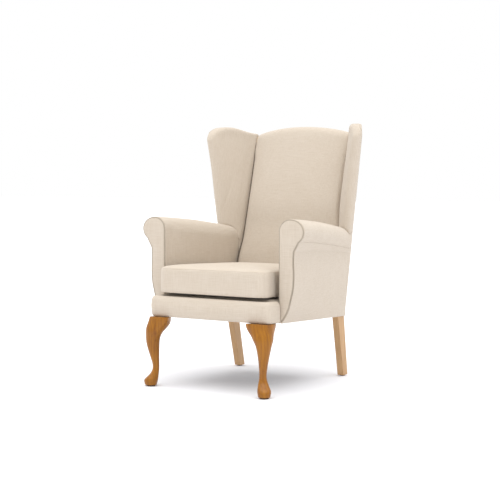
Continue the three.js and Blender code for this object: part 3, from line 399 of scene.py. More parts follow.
def new_material(name, roughness, **sockets):
    material = bpy.data.materials.new(name)
    material.use_nodes = True
    tree = material.node_tree
    tree.nodes.clear()
    surface = node(tree, "ShaderNodeBsdfPrincipled", {"Roughness": roughness})
    for key, value in sockets.items():
        surface.inputs[key.replace("_", " ")].default_value = value
    node(tree, "ShaderNodeOutputMaterial", {"Surface": surface.outputs[0]})
    return material, tree, surface


def stretched(tree, coords, stretch):
    return node(tree, "ShaderNodeMapping", {"Vector": coords, "Scale": stretch}).outputs[0]


def noise(tree, coords, scale, stretch=(1, 1, 1), detail=3.0, rough=0.5):
    return node(tree, "ShaderNodeTexNoise", {
        "Vector": stretched(tree, coords, stretch), "Scale": scale, "Detail": detail, "Roughness": rough,
    }).outputs[0]


def centred(tree, pattern):
    """A pattern that runs from -0.5 to 0.5."""
    return maths(tree, "SUBTRACT", pattern, 0.5)


def blend(tree, share, a, b):
    made = node(tree, "ShaderNodeMix", {"Factor": share}, data_type="RGBA")
    for key, value in ((6, a), (7, b)):
        made.inputs[key].default_value = (*value[:3], 1)
    return made.outputs[2]


def raise_surface(tree, surface, height, strength, distance):
    bump = node(tree, "ShaderNodeBump", {
        "Height": height, "Strength": strength, "Distance": distance * MILLIMETRE,
    })
    tree.links.new(bump.outputs[0], surface.inputs["Normal"])


def darker(colour, share):
    return [c * share for c in colour[:3]]


def woven(name, colour, shadow, pitch, depth=0.35, slub=0.5):
    """Plain weave: crossed threads a pitch apart in millimetres, with slubs, whichever way a face looks. The
    hollows of the weave are blended towards the shadow colour, a painted shade; the slubs and patches are the
    yarn's own tone.
    """
    along, streaks, patches_scale = 0.045, 620.0, 14.0
    weave_hollow_shade_share, patch_share, shadow_share = -0.16, 0.3, 0.3
    material, tree, surface = new_material(
        name, 0.93, Sheen_Weight=0.2, Sheen_Roughness=0.5, Specular_IOR_Level=0.25)
    coords = node(tree, "ShaderNodeTexCoord")
    where = node(tree, "ShaderNodeSeparateXYZ", {0: coords.outputs["Object"]})
    facing = node(tree, "ShaderNodeSeparateXYZ", {0: coords.outputs["Normal"]})
    turn = 2 * math.pi / (pitch * MILLIMETRE)
    waves = [maths(tree, "SINE", times(tree, where.outputs[i], turn)) for i in range(3)]
    looks = [times(tree, facing.outputs[i], facing.outputs[i]) for i in range(3)]
    weave = total(tree, [
        times(tree, looks[i], times(tree, waves[(i + 1) % 3], waves[(i + 2) % 3])) for i in range(3)
    ])
    threads = []
    for i in range(3):
        stretch = [1.0] * 3
        stretch[i] = along
        streak = noise(tree, coords.outputs["Object"], streaks / pitch, stretch, 2.0)
        threads.append(times(tree, centred(tree, streak), maths(tree, "SUBTRACT", 1.0, looks[i])))
    slubs = total(tree, threads)
    patches = centred(tree, noise(tree, coords.outputs["Object"], patches_scale, detail=4.0))
    # The weave term paints shade into the hollows between threads; the slubs and patches are the yarn's own
    # tone.
    share = total(tree, [
        times(tree, weave, weave_hollow_shade_share), times(tree, slubs, slub * 2), times(tree, patches, patch_share),
    ])
    share = maths(tree, "ADD", share, shadow_share, clamp=True)
    tree.links.new(blend(tree, share, colour, shadow), surface.inputs["Base Color"])
    raise_surface(tree, surface, maths(tree, "ADD", weave, times(tree, slubs, 1.5)), depth, 0.3)
    return material


def timber(name, light, dark, grain, polish):
    """Planed or polished wood with its grain along x, y or z."""
    figure_scale, band_scale, pore_scale = 42.0, 34.0, 900.0
    figure_share, band_share, pore_share, dark_share = 1.7, 0.28, 0.35, 0.22
    material, tree, surface = new_material(
        name, lerp(0.62, 0.34, polish), Coat_Weight=0.14 * polish, Coat_Roughness=0.14,
        Specular_IOR_Level=lerp(0.5, 0.28, polish))
    coords = node(tree, "ShaderNodeTexCoord").outputs["Object"]
    lengthways = [0.07 if axis == grain else 1.0 for axis in "xyz"]
    finer = [0.018 if axis == grain else 1.0 for axis in "xyz"]
    figure = noise(tree, coords, figure_scale, lengthways, 5.0, 0.6)
    bands = node(tree, "ShaderNodeTexWave", {
        "Vector": stretched(tree, coords, lengthways), "Scale": band_scale, "Distortion": 7.0, "Detail": 3.0,
        "Detail Scale": 1.4,
    }, wave_type="BANDS", bands_direction="DIAGONAL").outputs[1]
    pores = noise(tree, coords, pore_scale, finer, 2.0)
    open_pores = node(tree, "ShaderNodeMapRange", {0: pores, 1: 0.55, 2: 0.75, 3: 0.0, 4: 1.0}).outputs[0]
    share = total(tree, [
        times(tree, centred(tree, figure), figure_share), times(tree, bands, band_share),
        times(tree, open_pores, pore_share),
    ])
    share = maths(tree, "ADD", share, dark_share, clamp=True)
    tree.links.new(blend(tree, share, light, dark), surface.inputs["Base Color"])
    rough = maths(tree, "ADD", times(tree, figure, 0.16), lerp(0.52, 0.24, polish))
    tree.links.new(rough, surface.inputs["Roughness"])
    raise_surface(tree, surface, times(tree, open_pores, -1.0), 0.25, 0.15)
    return material


def speckled(name, colour, roughness, metal=0.0):
    """Moulded plastic or plated metal with fine wear."""
    speck_scale, wear_scale = 900.0, 120.0
    material, tree, surface = new_material(name, roughness, Metallic=metal)
    coords = node(tree, "ShaderNodeTexCoord").outputs["Object"]
    fine = noise(tree, coords, speck_scale, detail=4.0)
    worn = noise(tree, coords, wear_scale, detail=5.0)
    share = times(tree, worn, 0.5)
    tree.links.new(blend(tree, share, colour, darker(colour, 0.6)), surface.inputs["Base Color"])
    rough = maths(tree, "ADD", times(tree, worn, 0.3), roughness - 0.12)
    tree.links.new(rough, surface.inputs["Roughness"])
    raise_surface(tree, surface, fine, 0.15, 0.08)
    return material


FINISHES = {}


def finish(name):
    """Each finish is made once, from the colours of the panel."""
    if name not in FINISHES:
        c = bpy.context.scene.chair_colours
        makers = {
            "cover_fabric": lambda: woven(name, c.cover, c.cover_shadow, 1.6),
            "piping_fabric": lambda: woven(name, c.piping, darker(c.piping, 0.7), 1.2),
            "lining_and_gap_shade": lambda: woven(name, c.lining_and_gap_shade, darker(c.lining_and_gap_shade, 0.8), 1.0, slub=0.2),
            # The crease cloth is the lining made darker: painted shade deep in the creases.
            "crease_shade_cloth": lambda: woven(name, darker(c.lining_and_gap_shade, 0.5), darker(c.lining_and_gap_shade, 0.35), 1.0, slub=0.2),
            "dust_cloth": lambda: woven(name, c.dust_cloth, darker(c.dust_cloth, 0.5), 1.0),
            "webbing": lambda: woven(name, c.webbing, darker(c.webbing, 0.45), 2.4, 0.8),
            "zip_tape": lambda: woven(name, c.piping, darker(c.piping, 0.75), 0.8),
            "honey_oak": lambda: timber(name, c.oak, c.oak_grain, "z", 1.0),
            "pale_beech": lambda: timber(name, c.beech, c.beech_grain, "z", 0.5),
            "rail_beech": lambda: timber(name, c.rail, c.rail_grain, "x", 0.0),
            "side_beech": lambda: timber(name, c.rail, c.rail_grain, "y", 0.0),
            "glide_plastic": lambda: speckled(name, c.glide, 0.45),
            "steel": lambda: speckled(name, c.steel, 0.4, 1.0),
        }
        FINISHES[name] = makers[name]()
    return FINISHES[name]


# Sizes and colours

def length(name, description, millimetres):
    return bpy.props.FloatProperty(
        name=name, description=description, default=millimetres * MILLIMETRE, unit="LENGTH", min=0.0)


def colour(name, description, value):
    return bpy.props.FloatVectorProperty(
        name=name, description=description, default=value, subtype="COLOR", min=0.0, max=1.0)


class ChairSizes(bpy.types.PropertyGroup):
    cushion_crown: length("Cushion crown", "How far the middle of the seat cushion is above its border", 13)
    cushion_swell: length("Cushion swell", "How far the filling may push the seat cushion's cover out", 9)
    back_swell: length("Back swell", "How far the filling may push the inside back out", 7)
    arm_swell: length("Arm swell", "How far the filling may push the arm cover out", 4)
    wing_swell: length("Wing swell", "How far the filling may push the wing cover out", 4)
    border_swell: length("Border swell", "How far the filling may push the front border out", 3)
    piping_radius: length("Piping radius", "Radius of the piping round the arm facings", 2.5)
    seam_radius: length("Seam radius", "Radius of the sewn edges of the seat cushion", 1.6)


class ChairColours(bpy.types.PropertyGroup):
    cover: colour("Cover", "Light threads of the oatmeal cover", (0.585, 0.513, 0.429))
    # The cover's shadow colour is painted shade in the hollows of the weave, and also the darker yarn of the
    # slubs and patches.
    cover_shadow: colour("Cover shade", "Dark threads of the oatmeal cover", (0.487, 0.406, 0.314))
    piping: colour("Piping", "Cloth of the piping and the zip tape", (0.42, 0.36, 0.285))
    # The lining is the platform cloth, made darker than the cover partly as painted shade, so the gap under
    # the seat cushion reads dark.
    lining_and_gap_shade: colour("Lining", "Cotton cloth under the seat cushion", (0.36, 0.30, 0.235))
    dust_cloth: colour("Dust cloth", "Lining under the seat", (0.03, 0.03, 0.032))
    webbing: colour("Webbing", "Woven webbing of the seat and back", (0.17, 0.12, 0.075))
    oak: colour("Oak", "Honey-coloured polish of the front legs", (0.352, 0.138, 0.006))
    oak_grain: colour("Oak grain", "Grain of the front legs", (0.178, 0.057, 0.003))
    beech: colour("Beech", "Polished beech of the rear legs", (0.54, 0.335, 0.168))
    beech_grain: colour("Beech grain", "Grain of the rear legs", (0.42, 0.24, 0.105))
    rail: colour("Rail", "Bare beech of the hidden frame", (0.58, 0.42, 0.24))
    rail_grain: colour("Rail grain", "Grain of the hidden frame", (0.40, 0.26, 0.13))
    glide: colour("Glide", "Dark plastic of the glides", (0.035, 0.022, 0.014))
    steel: colour("Steel", "Plated bolts and the zip slider", (0.56, 0.56, 0.57))


# Seat cushion: a crowned box in the raked plane of the seat, narrower at the back

CUSHION_FRONT, CUSHION_REAR = -84.0, 457.0
CUSHION_LOW, CUSHION_BORDER = 94.9, 102.0
CUSHION_HALF, CUSHION_SIDE_GAP = 250.0, 4.5
FRONT_CORNER, REAR_CORNER = 38.0, 24.0
FRONT_BOW, SIDE_WAIST = 3.0, 6.0
# How far a ring is above the border, as a share of the crown, and how far in, as a share of its reach
CROWN_REACH = 270.0
CROWN_SHARES = ((0.2, 0.06), (0.45, 0.13), (0.68, 0.24), (0.86, 0.42), (0.96, 0.66), (1.0, 0.86))


def cushion_outline():
    front_half, rear_half = CUSHION_HALF, inner_x(CUSHION_REAR) - CUSHION_SIDE_GAP
    straight = 1 - FRONT_CORNER / front_half
    shares = [i / 12 * straight for i in range(12)]
    right = [(front_half * share, CUSHION_FRONT - FRONT_BOW * (1 - share * share)) for share in shares]
    right += quarter(front_half - FRONT_CORNER, CUSHION_FRONT + FRONT_CORNER, FRONT_CORNER, -90, 12)
    for i in range(1, 16):
        share = i / 16
        waist = SIDE_WAIST * math.sin(math.pi * share) ** 0.5
        right.append((lerp(front_half, rear_half, share) - waist,
                      lerp(CUSHION_FRONT + FRONT_CORNER, CUSHION_REAR - REAR_CORNER, share)))
    right += quarter(rear_half - REAR_CORNER, CUSHION_REAR - REAR_CORNER, REAR_CORNER, 0, 8)
    right += [((rear_half - REAR_CORNER) * (1 - i / 10), CUSHION_REAR) for i in range(1, 10)]
    return both_sides(right, CUSHION_REAR)


def cushion_ring(height, inset):
    middle = (CUSHION_FRONT + CUSHION_REAR) / 2
    depth = (CUSHION_REAR - CUSHION_FRONT) / 2
    ring = []
    for x, y in cushion_outline():
        deep = middle + (y - middle) * (1 - inset / depth)
        ring.append(place(x * (1 - inset / CUSHION_HALF), deep, seat_z(deep, height)))
    return ring


def settle(piece, places, proud):
    """Moves places on to the nearest point of a finished piece, and out from it."""
    settled = []
    for p in places:
        hit, where, normal, face = piece.closest_point_on_mesh(p)
        settled.append(where + normal * proud)
    return settled


class SeatCushion(bpy.types.Operator):
    """Loose box cushion with sewn edges"""

    bl_idname = "chair.seat_cushion"
    bl_label = "Seat cushion"

    def execute(self, context):
        sizes = context.scene.chair_sizes
        low, high = CUSHION_LOW + 0.5, CUSHION_LOW + CUSHION_BORDER
        crown = sizes.cushion_crown / MILLIMETRE
        # Rings as height and inset: the flat underside, the lower edge, the border and the upper edge
        levels = [(low, 150), (low, 60), (low, 12), (low, 4.5), (low + 1.2, 2.2), (low + 4, 1.4),
                  (low + 20, 2.5), ((low + high) / 2, 2.5), (high - 20, 3), (high - 7, 4), (high - 2, 8)]
        levels += [(high + crown * up, CROWN_REACH * inward) for up, inward in CROWN_SHARES]
        cover = loft("seat_cushion", [cushion_ring(height, inset) for height, inset in levels])

        def free(x, y, z):
            """Held underneath and at the zip, less free on the border and by the seams than on the crown."""
            border_share, seam_share, seam_reach, seam_inset = 0.4, 0.35, 14, 3
            height = z - seat_z(y, 0)
            off_deck = smooth(height, low + 1, low + 10)
            off_zip = 1 - smooth(y, CUSHION_REAR - 30, CUSHION_REAR - 6)
            off_seams = min(abs(height - low - seam_inset), abs(height - high + seam_inset))
            filled = lerp(border_share, 1.0, smooth(height, high - 10, high + 2))
            return off_deck * off_zip * filled * lerp(seam_share, 1.0, smooth(off_seams, 0, seam_reach))

        plump(cover, free, sizes.cushion_swell / MILLIMETRE, pressure=4.0, voxel=6.0)
        dress(cover, "cover_fabric", ["cushion_cover", "cushion_foam"], "cushion")
        self.sew(cover, low, high, sizes.seam_radius)
        return {"FINISHED"}

    def sew(self, cover, low, high, radius):
        for end, height, inset in (("top", high - 2, 3.0), ("bottom", low + 2, 2.0)):
            line = settle(cover, cushion_ring(height, inset), -radius * 0.3)
            dress(tube(f"cushion_seam_{end}", line, radius, closed=True), "cover_fabric", body="cushion")
        turn = math.radians(35)
        corner_x = CUSHION_HALF - FRONT_CORNER + FRONT_CORNER * math.cos(turn)
        corner_y = CUSHION_FRONT + FRONT_CORNER - FRONT_CORNER * math.sin(turn)
        for side, sign in (("right", 1), ("left", -1)):
            line = [place(sign * corner_x, corner_y, seat_z(corner_y, lerp(low + 4, high - 4, i / 14)))
                    for i in range(15)]
            seam = tube(f"cushion_corner_seam_{side}", settle(cover, line, 0.0), radius * 0.6)
            dress(seam, "cover_fabric", body="cushion")


# Zip along the back of the cushion. Teeth and edges are in millimetres.

ZIP_HEIGHT, ZIP_HALF, ZIP_PROUD = 145.9, 199, 3
TAPE_ROWS, TAPE_THICKNESS = (5.7, 3, 1, -1, -3, -5.7), 2.2
TOOTH = (1.1, 1.2, 4.2)
TOOTH_START, TOOTH_PITCH, TEETH = -198, 2.0, 190
SLIDER_CLEARANCE, SLIDER_HEIGHT = 0.85, 8.0
PULL_RADIUS, PULL_THICKNESS = 3.0, 1.2
PULL_TOP, PULL_TAPER, PULL_FLATTEN = 7.0, 0.8, 0.4


class CushionZip(bpy.types.Operator):
    """Zip of the seat cushion: tape, teeth, and the slider with its pull"""

    bl_idname = "chair.cushion_zip"
    bl_label = "Cushion zip"

    def execute(self, context):
        rear = CUSHION_REAR + ZIP_PROUD
        rows = [[place(x, rear, seat_z(CUSHION_REAR, ZIP_HEIGHT + up))
                 for x in range(-ZIP_HALF, ZIP_HALF + 1, 14)] for up in TAPE_ROWS]
        tape = panel("zip_tape", rows, TAPE_THICKNESS, 0.5)
        dress(tape, "zip_tape", ["cushion_zip"], body="cushion")
        start = place(TOOTH_START, rear + 0.1, seat_z(CUSHION_REAR, ZIP_HEIGHT))
        teeth = block("zip_teeth", start, [side * MILLIMETRE for side in TOOTH], 0.2, 1)
        apply(teeth, "ARRAY", count=TEETH, use_relative_offset=False, use_constant_offset=True,
              constant_offset_displace=(TOOTH_PITCH * MILLIMETRE, 0, 0))
        shade(teeth, 40)
        dress(teeth, "steel", body="cushion")
        self.make_slider(place(0, rear + SLIDER_CLEARANCE, 0).y)
        return {"FINISHED"}

    def make_slider(self, near):
        low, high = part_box("zip_slider")
        height = SLIDER_HEIGHT * MILLIMETRE
        centre = Vector(((low.x + high.x) / 2, (near + high.y) / 2, high.z - height / 2))
        slider = block("zip_slider_body", centre, (high.x - low.x, high.y - near, height), 0.8, 3)
        shade(slider, 40)
        radius, thickness = PULL_RADIUS * MILLIMETRE, PULL_THICKNESS * MILLIMETRE
        bpy.ops.object.select_all(action="DESELECT")
        bpy.ops.mesh.primitive_cylinder_add(
            radius=radius, depth=thickness, vertices=32, rotation=(math.pi / 2, 0, 0),
            location=(centre.x, high.y - thickness / 2 - 0.1 * MILLIMETRE, low.z + radius))
        pull = bpy.context.active_object
        pull.name = "zip_slider_pull"
        bpy.ops.object.transform_apply(location=True, rotation=True, scale=True)
        for vertex in pull.data.vertices:
            above = vertex.co.z - low.z - radius
            if above > 0.1 * MILLIMETRE:
                vertex.co.z = high.z - PULL_TOP * MILLIMETRE + above * PULL_FLATTEN
                vertex.co.x = centre.x + (vertex.co.x - centre.x) * PULL_TAPER
        apply(pull, "BEVEL", width=0.3 * MILLIMETRE, segments=2, limit_method="ANGLE")
        shade(pull, 40)
        dress(slider, "steel", ["zip_slider"], body="slider")
        dress(pull, "steel", body="slider")


# Front border: round front corners, wrapped over the front of the seat frame

BORDER_HALF, BORDER_REAR = 276.0, -5.6
BORDER_CORNER, SMALLEST_CORNER = 20.0, 5.0
BORDER_LEVELS = (
    (0.2, 30), (0.2, 9), (0.6, 3.5), (3, 1.2), (9, 0.2), (17.4, -0.6), (43.5, -3), (66, -0.5), (72, 0.8),
    (77, 2.6), (80.5, 5.6), (82.5, 10), (83, 18), (81.5, 28), (80, 40),
)


def border_outline(inset):
    half, front = BORDER_HALF - inset, inset - BORDER_REACH
    radius = max(BORDER_CORNER - inset, SMALLEST_CORNER)
    right = [(i / 14 * (half - radius), front) for i in range(14)]
    right += quarter(half - radius, front + radius, radius, -90, 10)
    right += [(half, lerp(front + radius, BORDER_REAR, i / 6)) for i in range(1, 7)]
    right += [(half * (1 - i / 14), BORDER_REAR) for i in range(1, 14)]
    return both_sides(right, BORDER_REAR)


class FrontBorder(bpy.types.Operator):
    """Padded front border that wraps the front of the seat frame"""

    bl_idname = "chair.front_border"
    bl_label = "Front border"

    def execute(self, context):
        rings = [[place(x, y, seat_z(y, height)) for x, y in border_outline(inset)]
                 for height, inset in BORDER_LEVELS]
        border = loft("front_border", rings)

        def free(x, y, z):
            """Held along the bottom, behind the front rail and on top."""
            height = z - seat_z(y, 0)
            return smooth(height, 3, 26) * (1 - smooth(y, -28, -8)) * (1 - smooth(height, 74, 82))

        plump(border, free, context.scene.chair_sizes.border_swell / MILLIMETRE, pressure=4.0, voxel=5.0)
        dress(border, "cover_fabric", ["border_cover", "border_pad"])
        return {"FINISHED"}


# Arms: sections across the arm, from the facing (share 0) to the back (share 1). The roll and the neck have
# a size at each. The side's rows are its reach as a share of the neck's, and its height as a share of the
# way up to the neck. A span or height pair says where a change starts and ends.

ARM_TOP, ARM_DROP, DROP_CURVE = 665.0, 53.0, 1.4
SIDE_FRONT_SHARES = (
    (0.12, 0), (0.37, 0.075), (0.63, 0.19), (0.80, 0.33), (0.96, 0.50), (1, 0.68), (0.97, 0.86), (1, 1),
)
SIDE_REAR_SHARES = (
    (0.79, 0), (0.79, 0.12), (0.79, 0.27), (0.80, 0.42), (0.82, 0.58), (0.86, 0.74), (0.92, 0.88), (1, 1),
)
ROLL_INSIDE, ROLL_OUTSIDE = (50, 38), (58, 35)
ROLL_ABOVE, ROLL_BELOW = (48, 46), (50, 46)
NECK_DROP, NECK_REACH = (75, 50), (65, 45)
ROLL_START, ROLL_END = -52, 180
BACK_ROUND, BACK_ROUND_LENGTH = 9, 24
BACK_ROUND_SPAN = (6, 40)
RUN_LENGTH, RUN_HEIGHTS, RUN_SPAN = 40, (430, 500), (18, 36)
FOLD_PROUD, FOLD_LENGTH = 2.2, 16
PANEL_FRONT, PANEL_BULGE = -2.6, 1.2
ARM_STATIONS = [0.2] + [i * 20.0 for i in range(1, 25)] + [485, 490, 494, 498, 501, 503, 504.5, 505.6]


def arm_lines(share):
    """The outside line from the bottom to the neck, the roll, and the foot of the inner side."""
    y = share * ARM_LENGTH
    inner, bottom = inner_x(y), seat_z(y, 0)
    top = ARM_TOP - ARM_DROP * share ** DROP_CURVE
    inside, outside = lerp(*ROLL_INSIDE, share), lerp(*ROLL_OUTSIDE, share)
    above, below = lerp(*ROLL_ABOVE, share), lerp(*ROLL_BELOW, share)
    centre_x, centre_z = inner + inside, top - above
    neck, neck_z = lerp(*NECK_REACH, share), centre_z - lerp(*NECK_DROP, share)
    side = through([(inner + neck * lerp(a, c, share), bottom + (neck_z - bottom) * lerp(b, d, share))
                    for (a, b), (c, d) in zip(SIDE_FRONT_SHARES, SIDE_REAR_SHARES)], 5)
    roll = []
    for i in range(41):
        degrees = lerp(ROLL_START, ROLL_END, i / 40)
        wide = outside if degrees < 90 else inside
        tall = below if degrees < 0 else above
        a = math.radians(degrees)
        roll.append((centre_x + wide * math.cos(a), centre_z + tall * math.sin(a)))
    return side, roll, (inner, bottom)


def neck_line(side, roll):
    """From the neck to the fold under the roll."""
    return [(lerp(side[-1][0], roll[0][0], i / 6), lerp(side[-1][1], roll[0][1], i / 6)) for i in range(1, 6)]


def arm_ring(y, tuck=0.0, shrink=0.0, foot=0.0, spread=0.0, run=0.0):
    """A ring of an arm, with its outside line drawn in by the tuck and its inner side moved by the spread.
    The cover is a little proud where it folds round the front, the roll is rounded off at the back, and
    the inner side may run on under the foot of the wing."""
    side, roll, (inner, bottom) = arm_lines(min(1.0, y / ARM_LENGTH))
    turned = min(1.0, max(0.0, 1 - (ARM_LENGTH - y) / BACK_ROUND_LENGTH))
    rounded = BACK_ROUND * (1 - math.sqrt(1 - turned * turned))
    fold = -FOLD_PROUD * (1 - smooth(y, 0, FOLD_LENGTH)) if tuck >= 0 else 0.0
    outside = [(x - tuck, z) for x, z in side + neck_line(side, roll)]
    down = [(inner - spread, lerp(roll[-1][1], bottom + foot, i / 20)) for i in range(1, 21)]
    line = outside + roll + down
    line[0] = (line[0][0], bottom + foot)
    under = roll[0][1]
    line = inward(line, lambda x, z: shrink + fold
                  + rounded * smooth(x - inner, *BACK_ROUND_SPAN) * smooth(z, under - 10, under + 8))
    end = run * smooth(y, ARM_LENGTH - RUN_LENGTH, ARM_LENGTH)
    return [place(x, y + end * smooth(z, *RUN_HEIGHTS) * (1 - smooth(x - inner, *RUN_SPAN)), z)
            for x, z in line]


def within(line, x, z):
    """Whether a point lies inside a closed line."""
    odd = False
    for (ax, az), (bx, bz) in zip(line, line[1:] + line[:1]):
        if (az > z) != (bz > z) and x < ax + (z - az) * (bx - ax) / (bz - az):
            odd = not odd
    return odd


def inward(line, distance):
    """Each corner of a closed line, moved in by a distance that may depend on its place."""
    count = len(line)
    made = []
    for i in range(count):
        before, here, after = (Vector(line[(i + k) % count]) for k in (-1, 0, 1))
        along = after - before
        along = along.normalized() if along.length else Vector((1, 0))
        move = distance(*here) if callable(distance) else distance
        made.append(tuple(here + Vector((-along.y, along.x)) * move))
    return made


class Arms(bpy.types.Operator):
    """Rolled arm covers, outside arm panels, facings and the piping round them"""

    bl_idname = "chair.arms"
    bl_label = "Arms"

    def execute(self, context):
        sizes = context.scene.chair_sizes
        self.make_covers(sizes.arm_swell / MILLIMETRE)
        self.make_panels()
        self.make_facings(sizes.piping_radius / MILLIMETRE)
        return {"FINISHED"}

    def make_covers(self, swell):
        rings = [arm_ring(y, tuck=2.8, foot=0.5, run=6) for y in ARM_STATIONS]
        arm = loft("arm_right", rings, flat_ends=True)

        def free(x, y, z):
            """Held at both ends, below the seat cushion, and on the outside under the roll."""
            off_ends = smooth(y, 6, 60) * (1 - smooth(y, ARM_LENGTH - 60, ARM_LENGTH - 12))
            off_deck = smooth(z - seat_z(y, 0), 90, 130)
            side, roll, foot = arm_lines(min(1, max(0, y / ARM_LENGTH)))
            off_side = 1 if z > roll[0][1] + 8 else 1 - smooth(x, inner_x(y) + 6, inner_x(y) + 20)
            return off_ends * off_deck * off_side

        plump(arm, free, swell, pressure=3.0, voxel=5.0)
        dress_pair(arm, "cover_fabric", ["inside_arm_right", "arm_pad_right"])

    def make_panels(self):
        columns = []
        for i in range(41):
            share = i / 40
            side, roll, foot = arm_lines(share)
            y = lerp(PANEL_FRONT, ARM_LENGTH + 0.2, share)
            fold = Vector(roll[0]).lerp(Vector(roll[1]), 0.4)
            whole = side + neck_line(side, roll) + [(fold.x - 1.2, fold.y + 0.6)]
            columns.append([place(x + PANEL_BULGE * math.sin(math.pi * k / len(whole)), y, z)
                            for k, (x, z) in enumerate(whole)])
        rows = [list(row) for row in zip(*columns)]
        right = panel("outside_arm_panel_right", rows[::-1], 2.4, 0.7)
        dress_pair(right, "cover_fabric", ["outside_arm_right"])

    def make_facings(self, radius):
        side, roll, (inner, bottom) = arm_lines(0)
        down = [(inner, lerp(roll[-1][1], bottom + 2, i / 30)) for i in range(1, 31)]
        line = side + roll + down
        levels = [(radius, -0.4), (radius, -3.8), (radius + 0.8, -4.7), (radius + 2.2, -5.0)]
        rings = [[place(x, y, z) for x, z in inward(line, inset)] for inset, y in levels]
        facing = loft("arm_facing_right_panel", rings, flat_ends=True)
        remesh(facing, 2.5, 3)
        self.crown(facing, line)
        face_out(facing)
        shade(facing)
        dress_pair(facing, "cover_fabric", ["arm_facing_right"])
        route = [(x, z) for x, z in inward(line, radius) if z > bottom + 2.6][1:]
        cord = tube("arm_piping_right_cord", [place(x, -radius - 0.3, z) for x, z in route],
                    radius * MILLIMETRE, steps=4)
        dress_pair(cord, "piping_fabric", ["arm_piping_right"])

    def crown(self, facing, line):
        """Pads the face of the facing out, less and less towards its rim."""
        rise, reach = 2.8 * MILLIMETRE, 30 * MILLIMETRE
        rim = kdtree.KDTree(len(line))
        plane = -FACING_TO_ORIGIN * MILLIMETRE
        for i, (x, z) in enumerate(line):
            rim.insert(place(x, 0, z), i)
        rim.balance()
        for vertex in facing.data.vertices:
            front = smooth(plane - vertex.co.y, 3 * MILLIMETRE, 4.5 * MILLIMETRE)
            away = rim.find(Vector((vertex.co.x, plane, vertex.co.z)))[2]
            vertex.co.y -= front * rise * math.sin(min(1.0, away / reach) * math.pi / 2)


# Wings: level sections, from the arm up, then rings round the top edge. A row of edge shares says how far a
# ring is turned in and how far it is below the top, as shares of the edge's size.

NOSE_RADIUS = 20.0
NOSE_TOP_Y, CREASE_TOP_Y = 458.0, 633.0
WING_FOOT, WING_LEVEL = 505.0, 990
WING_EDGE = 18.0
PEAK_SHARE, NOSE_DROP, REAR_DROP = 0.4, 50, 28
WING_CROWN = 7
CREASE_REACH, TUCK_REACH = 0.07, 0.12
FACE_SHARES = [0.015, 0.03, 0.045, 0.06] + [i / 16 for i in range(2, 16)]
TIP_STEPS = 14
TIP_START = 1 + len(FACE_SHARES)
TIP_END = TIP_START + TIP_STEPS
EDGE_SHARES = ((0.13, 0.5), (0.26, 0.3), (0.42, 0.16), (0.62, 0.06), (0.85, 0))
WING_EDGE_SHARES = ((0.05, 0.72), *EDGE_SHARES)


def wing_top(y):
    nose_front = NOSE_TOP_Y - NOSE_RADIUS
    peak = lerp(nose_front, CREASE_TOP_Y, PEAK_SHARE)
    if y < peak:
        return OVERALL_HEIGHT - NOSE_DROP * min(1, (peak - y) / (peak - nose_front)) ** 2.5
    return OVERALL_HEIGHT - REAR_DROP * smooth(y, peak, CREASE_TOP_Y)


def wing_outline(z, recess=0.0, tuck=2.6):
    """Crease, padded inner face, round nose, outside line drawn in by the tuck, and the back."""
    crease = Vector(read_at(CREASES, z))
    nose = Vector(read_at(NOSES, z))
    rear = back_plane(z) - COVER - GAP
    foot = crease.y + valley(z)
    along = (nose - crease).normalized()
    angle = math.atan2(along.y, along.x)
    tip = []
    for i in range(TIP_STEPS + 1):
        a = angle + math.radians(lerp(-90, 70, i / TIP_STEPS))
        tip.append(nose + Vector((math.cos(a), math.sin(a))) * (NOSE_RADIUS - recess))
    side = Vector((along.y, -along.x))
    face = []
    for share in FACE_SHARES:
        crown = WING_CROWN * (1 - (2 * share - 1) ** 2) * (1 - recess / NOSE_RADIUS)
        p = crease.lerp(tip[0], share) + side * crown
        face.append(Vector((p.x, p.y + valley(z) * (1 - smooth(share, 0, CREASE_REACH)))))
    corner = Vector((CASING_HALF - recess / 2, rear))
    outside = []
    for i in range(1, 21):
        p = tip[-1].lerp(corner, i / 20)
        outside.append(Vector((p.x - tuck * smooth(i / 20, 0, TUCK_REACH), p.y)))
    back = [Vector((lerp(corner.x - tuck, crease.x, i / 5), rear)) for i in range(1, 6)]
    inner = [Vector((crease.x, lerp(rear, foot, i / 4))) for i in range(1, 4)]
    return [Vector((crease.x, foot))] + face + tip + outside + back + inner


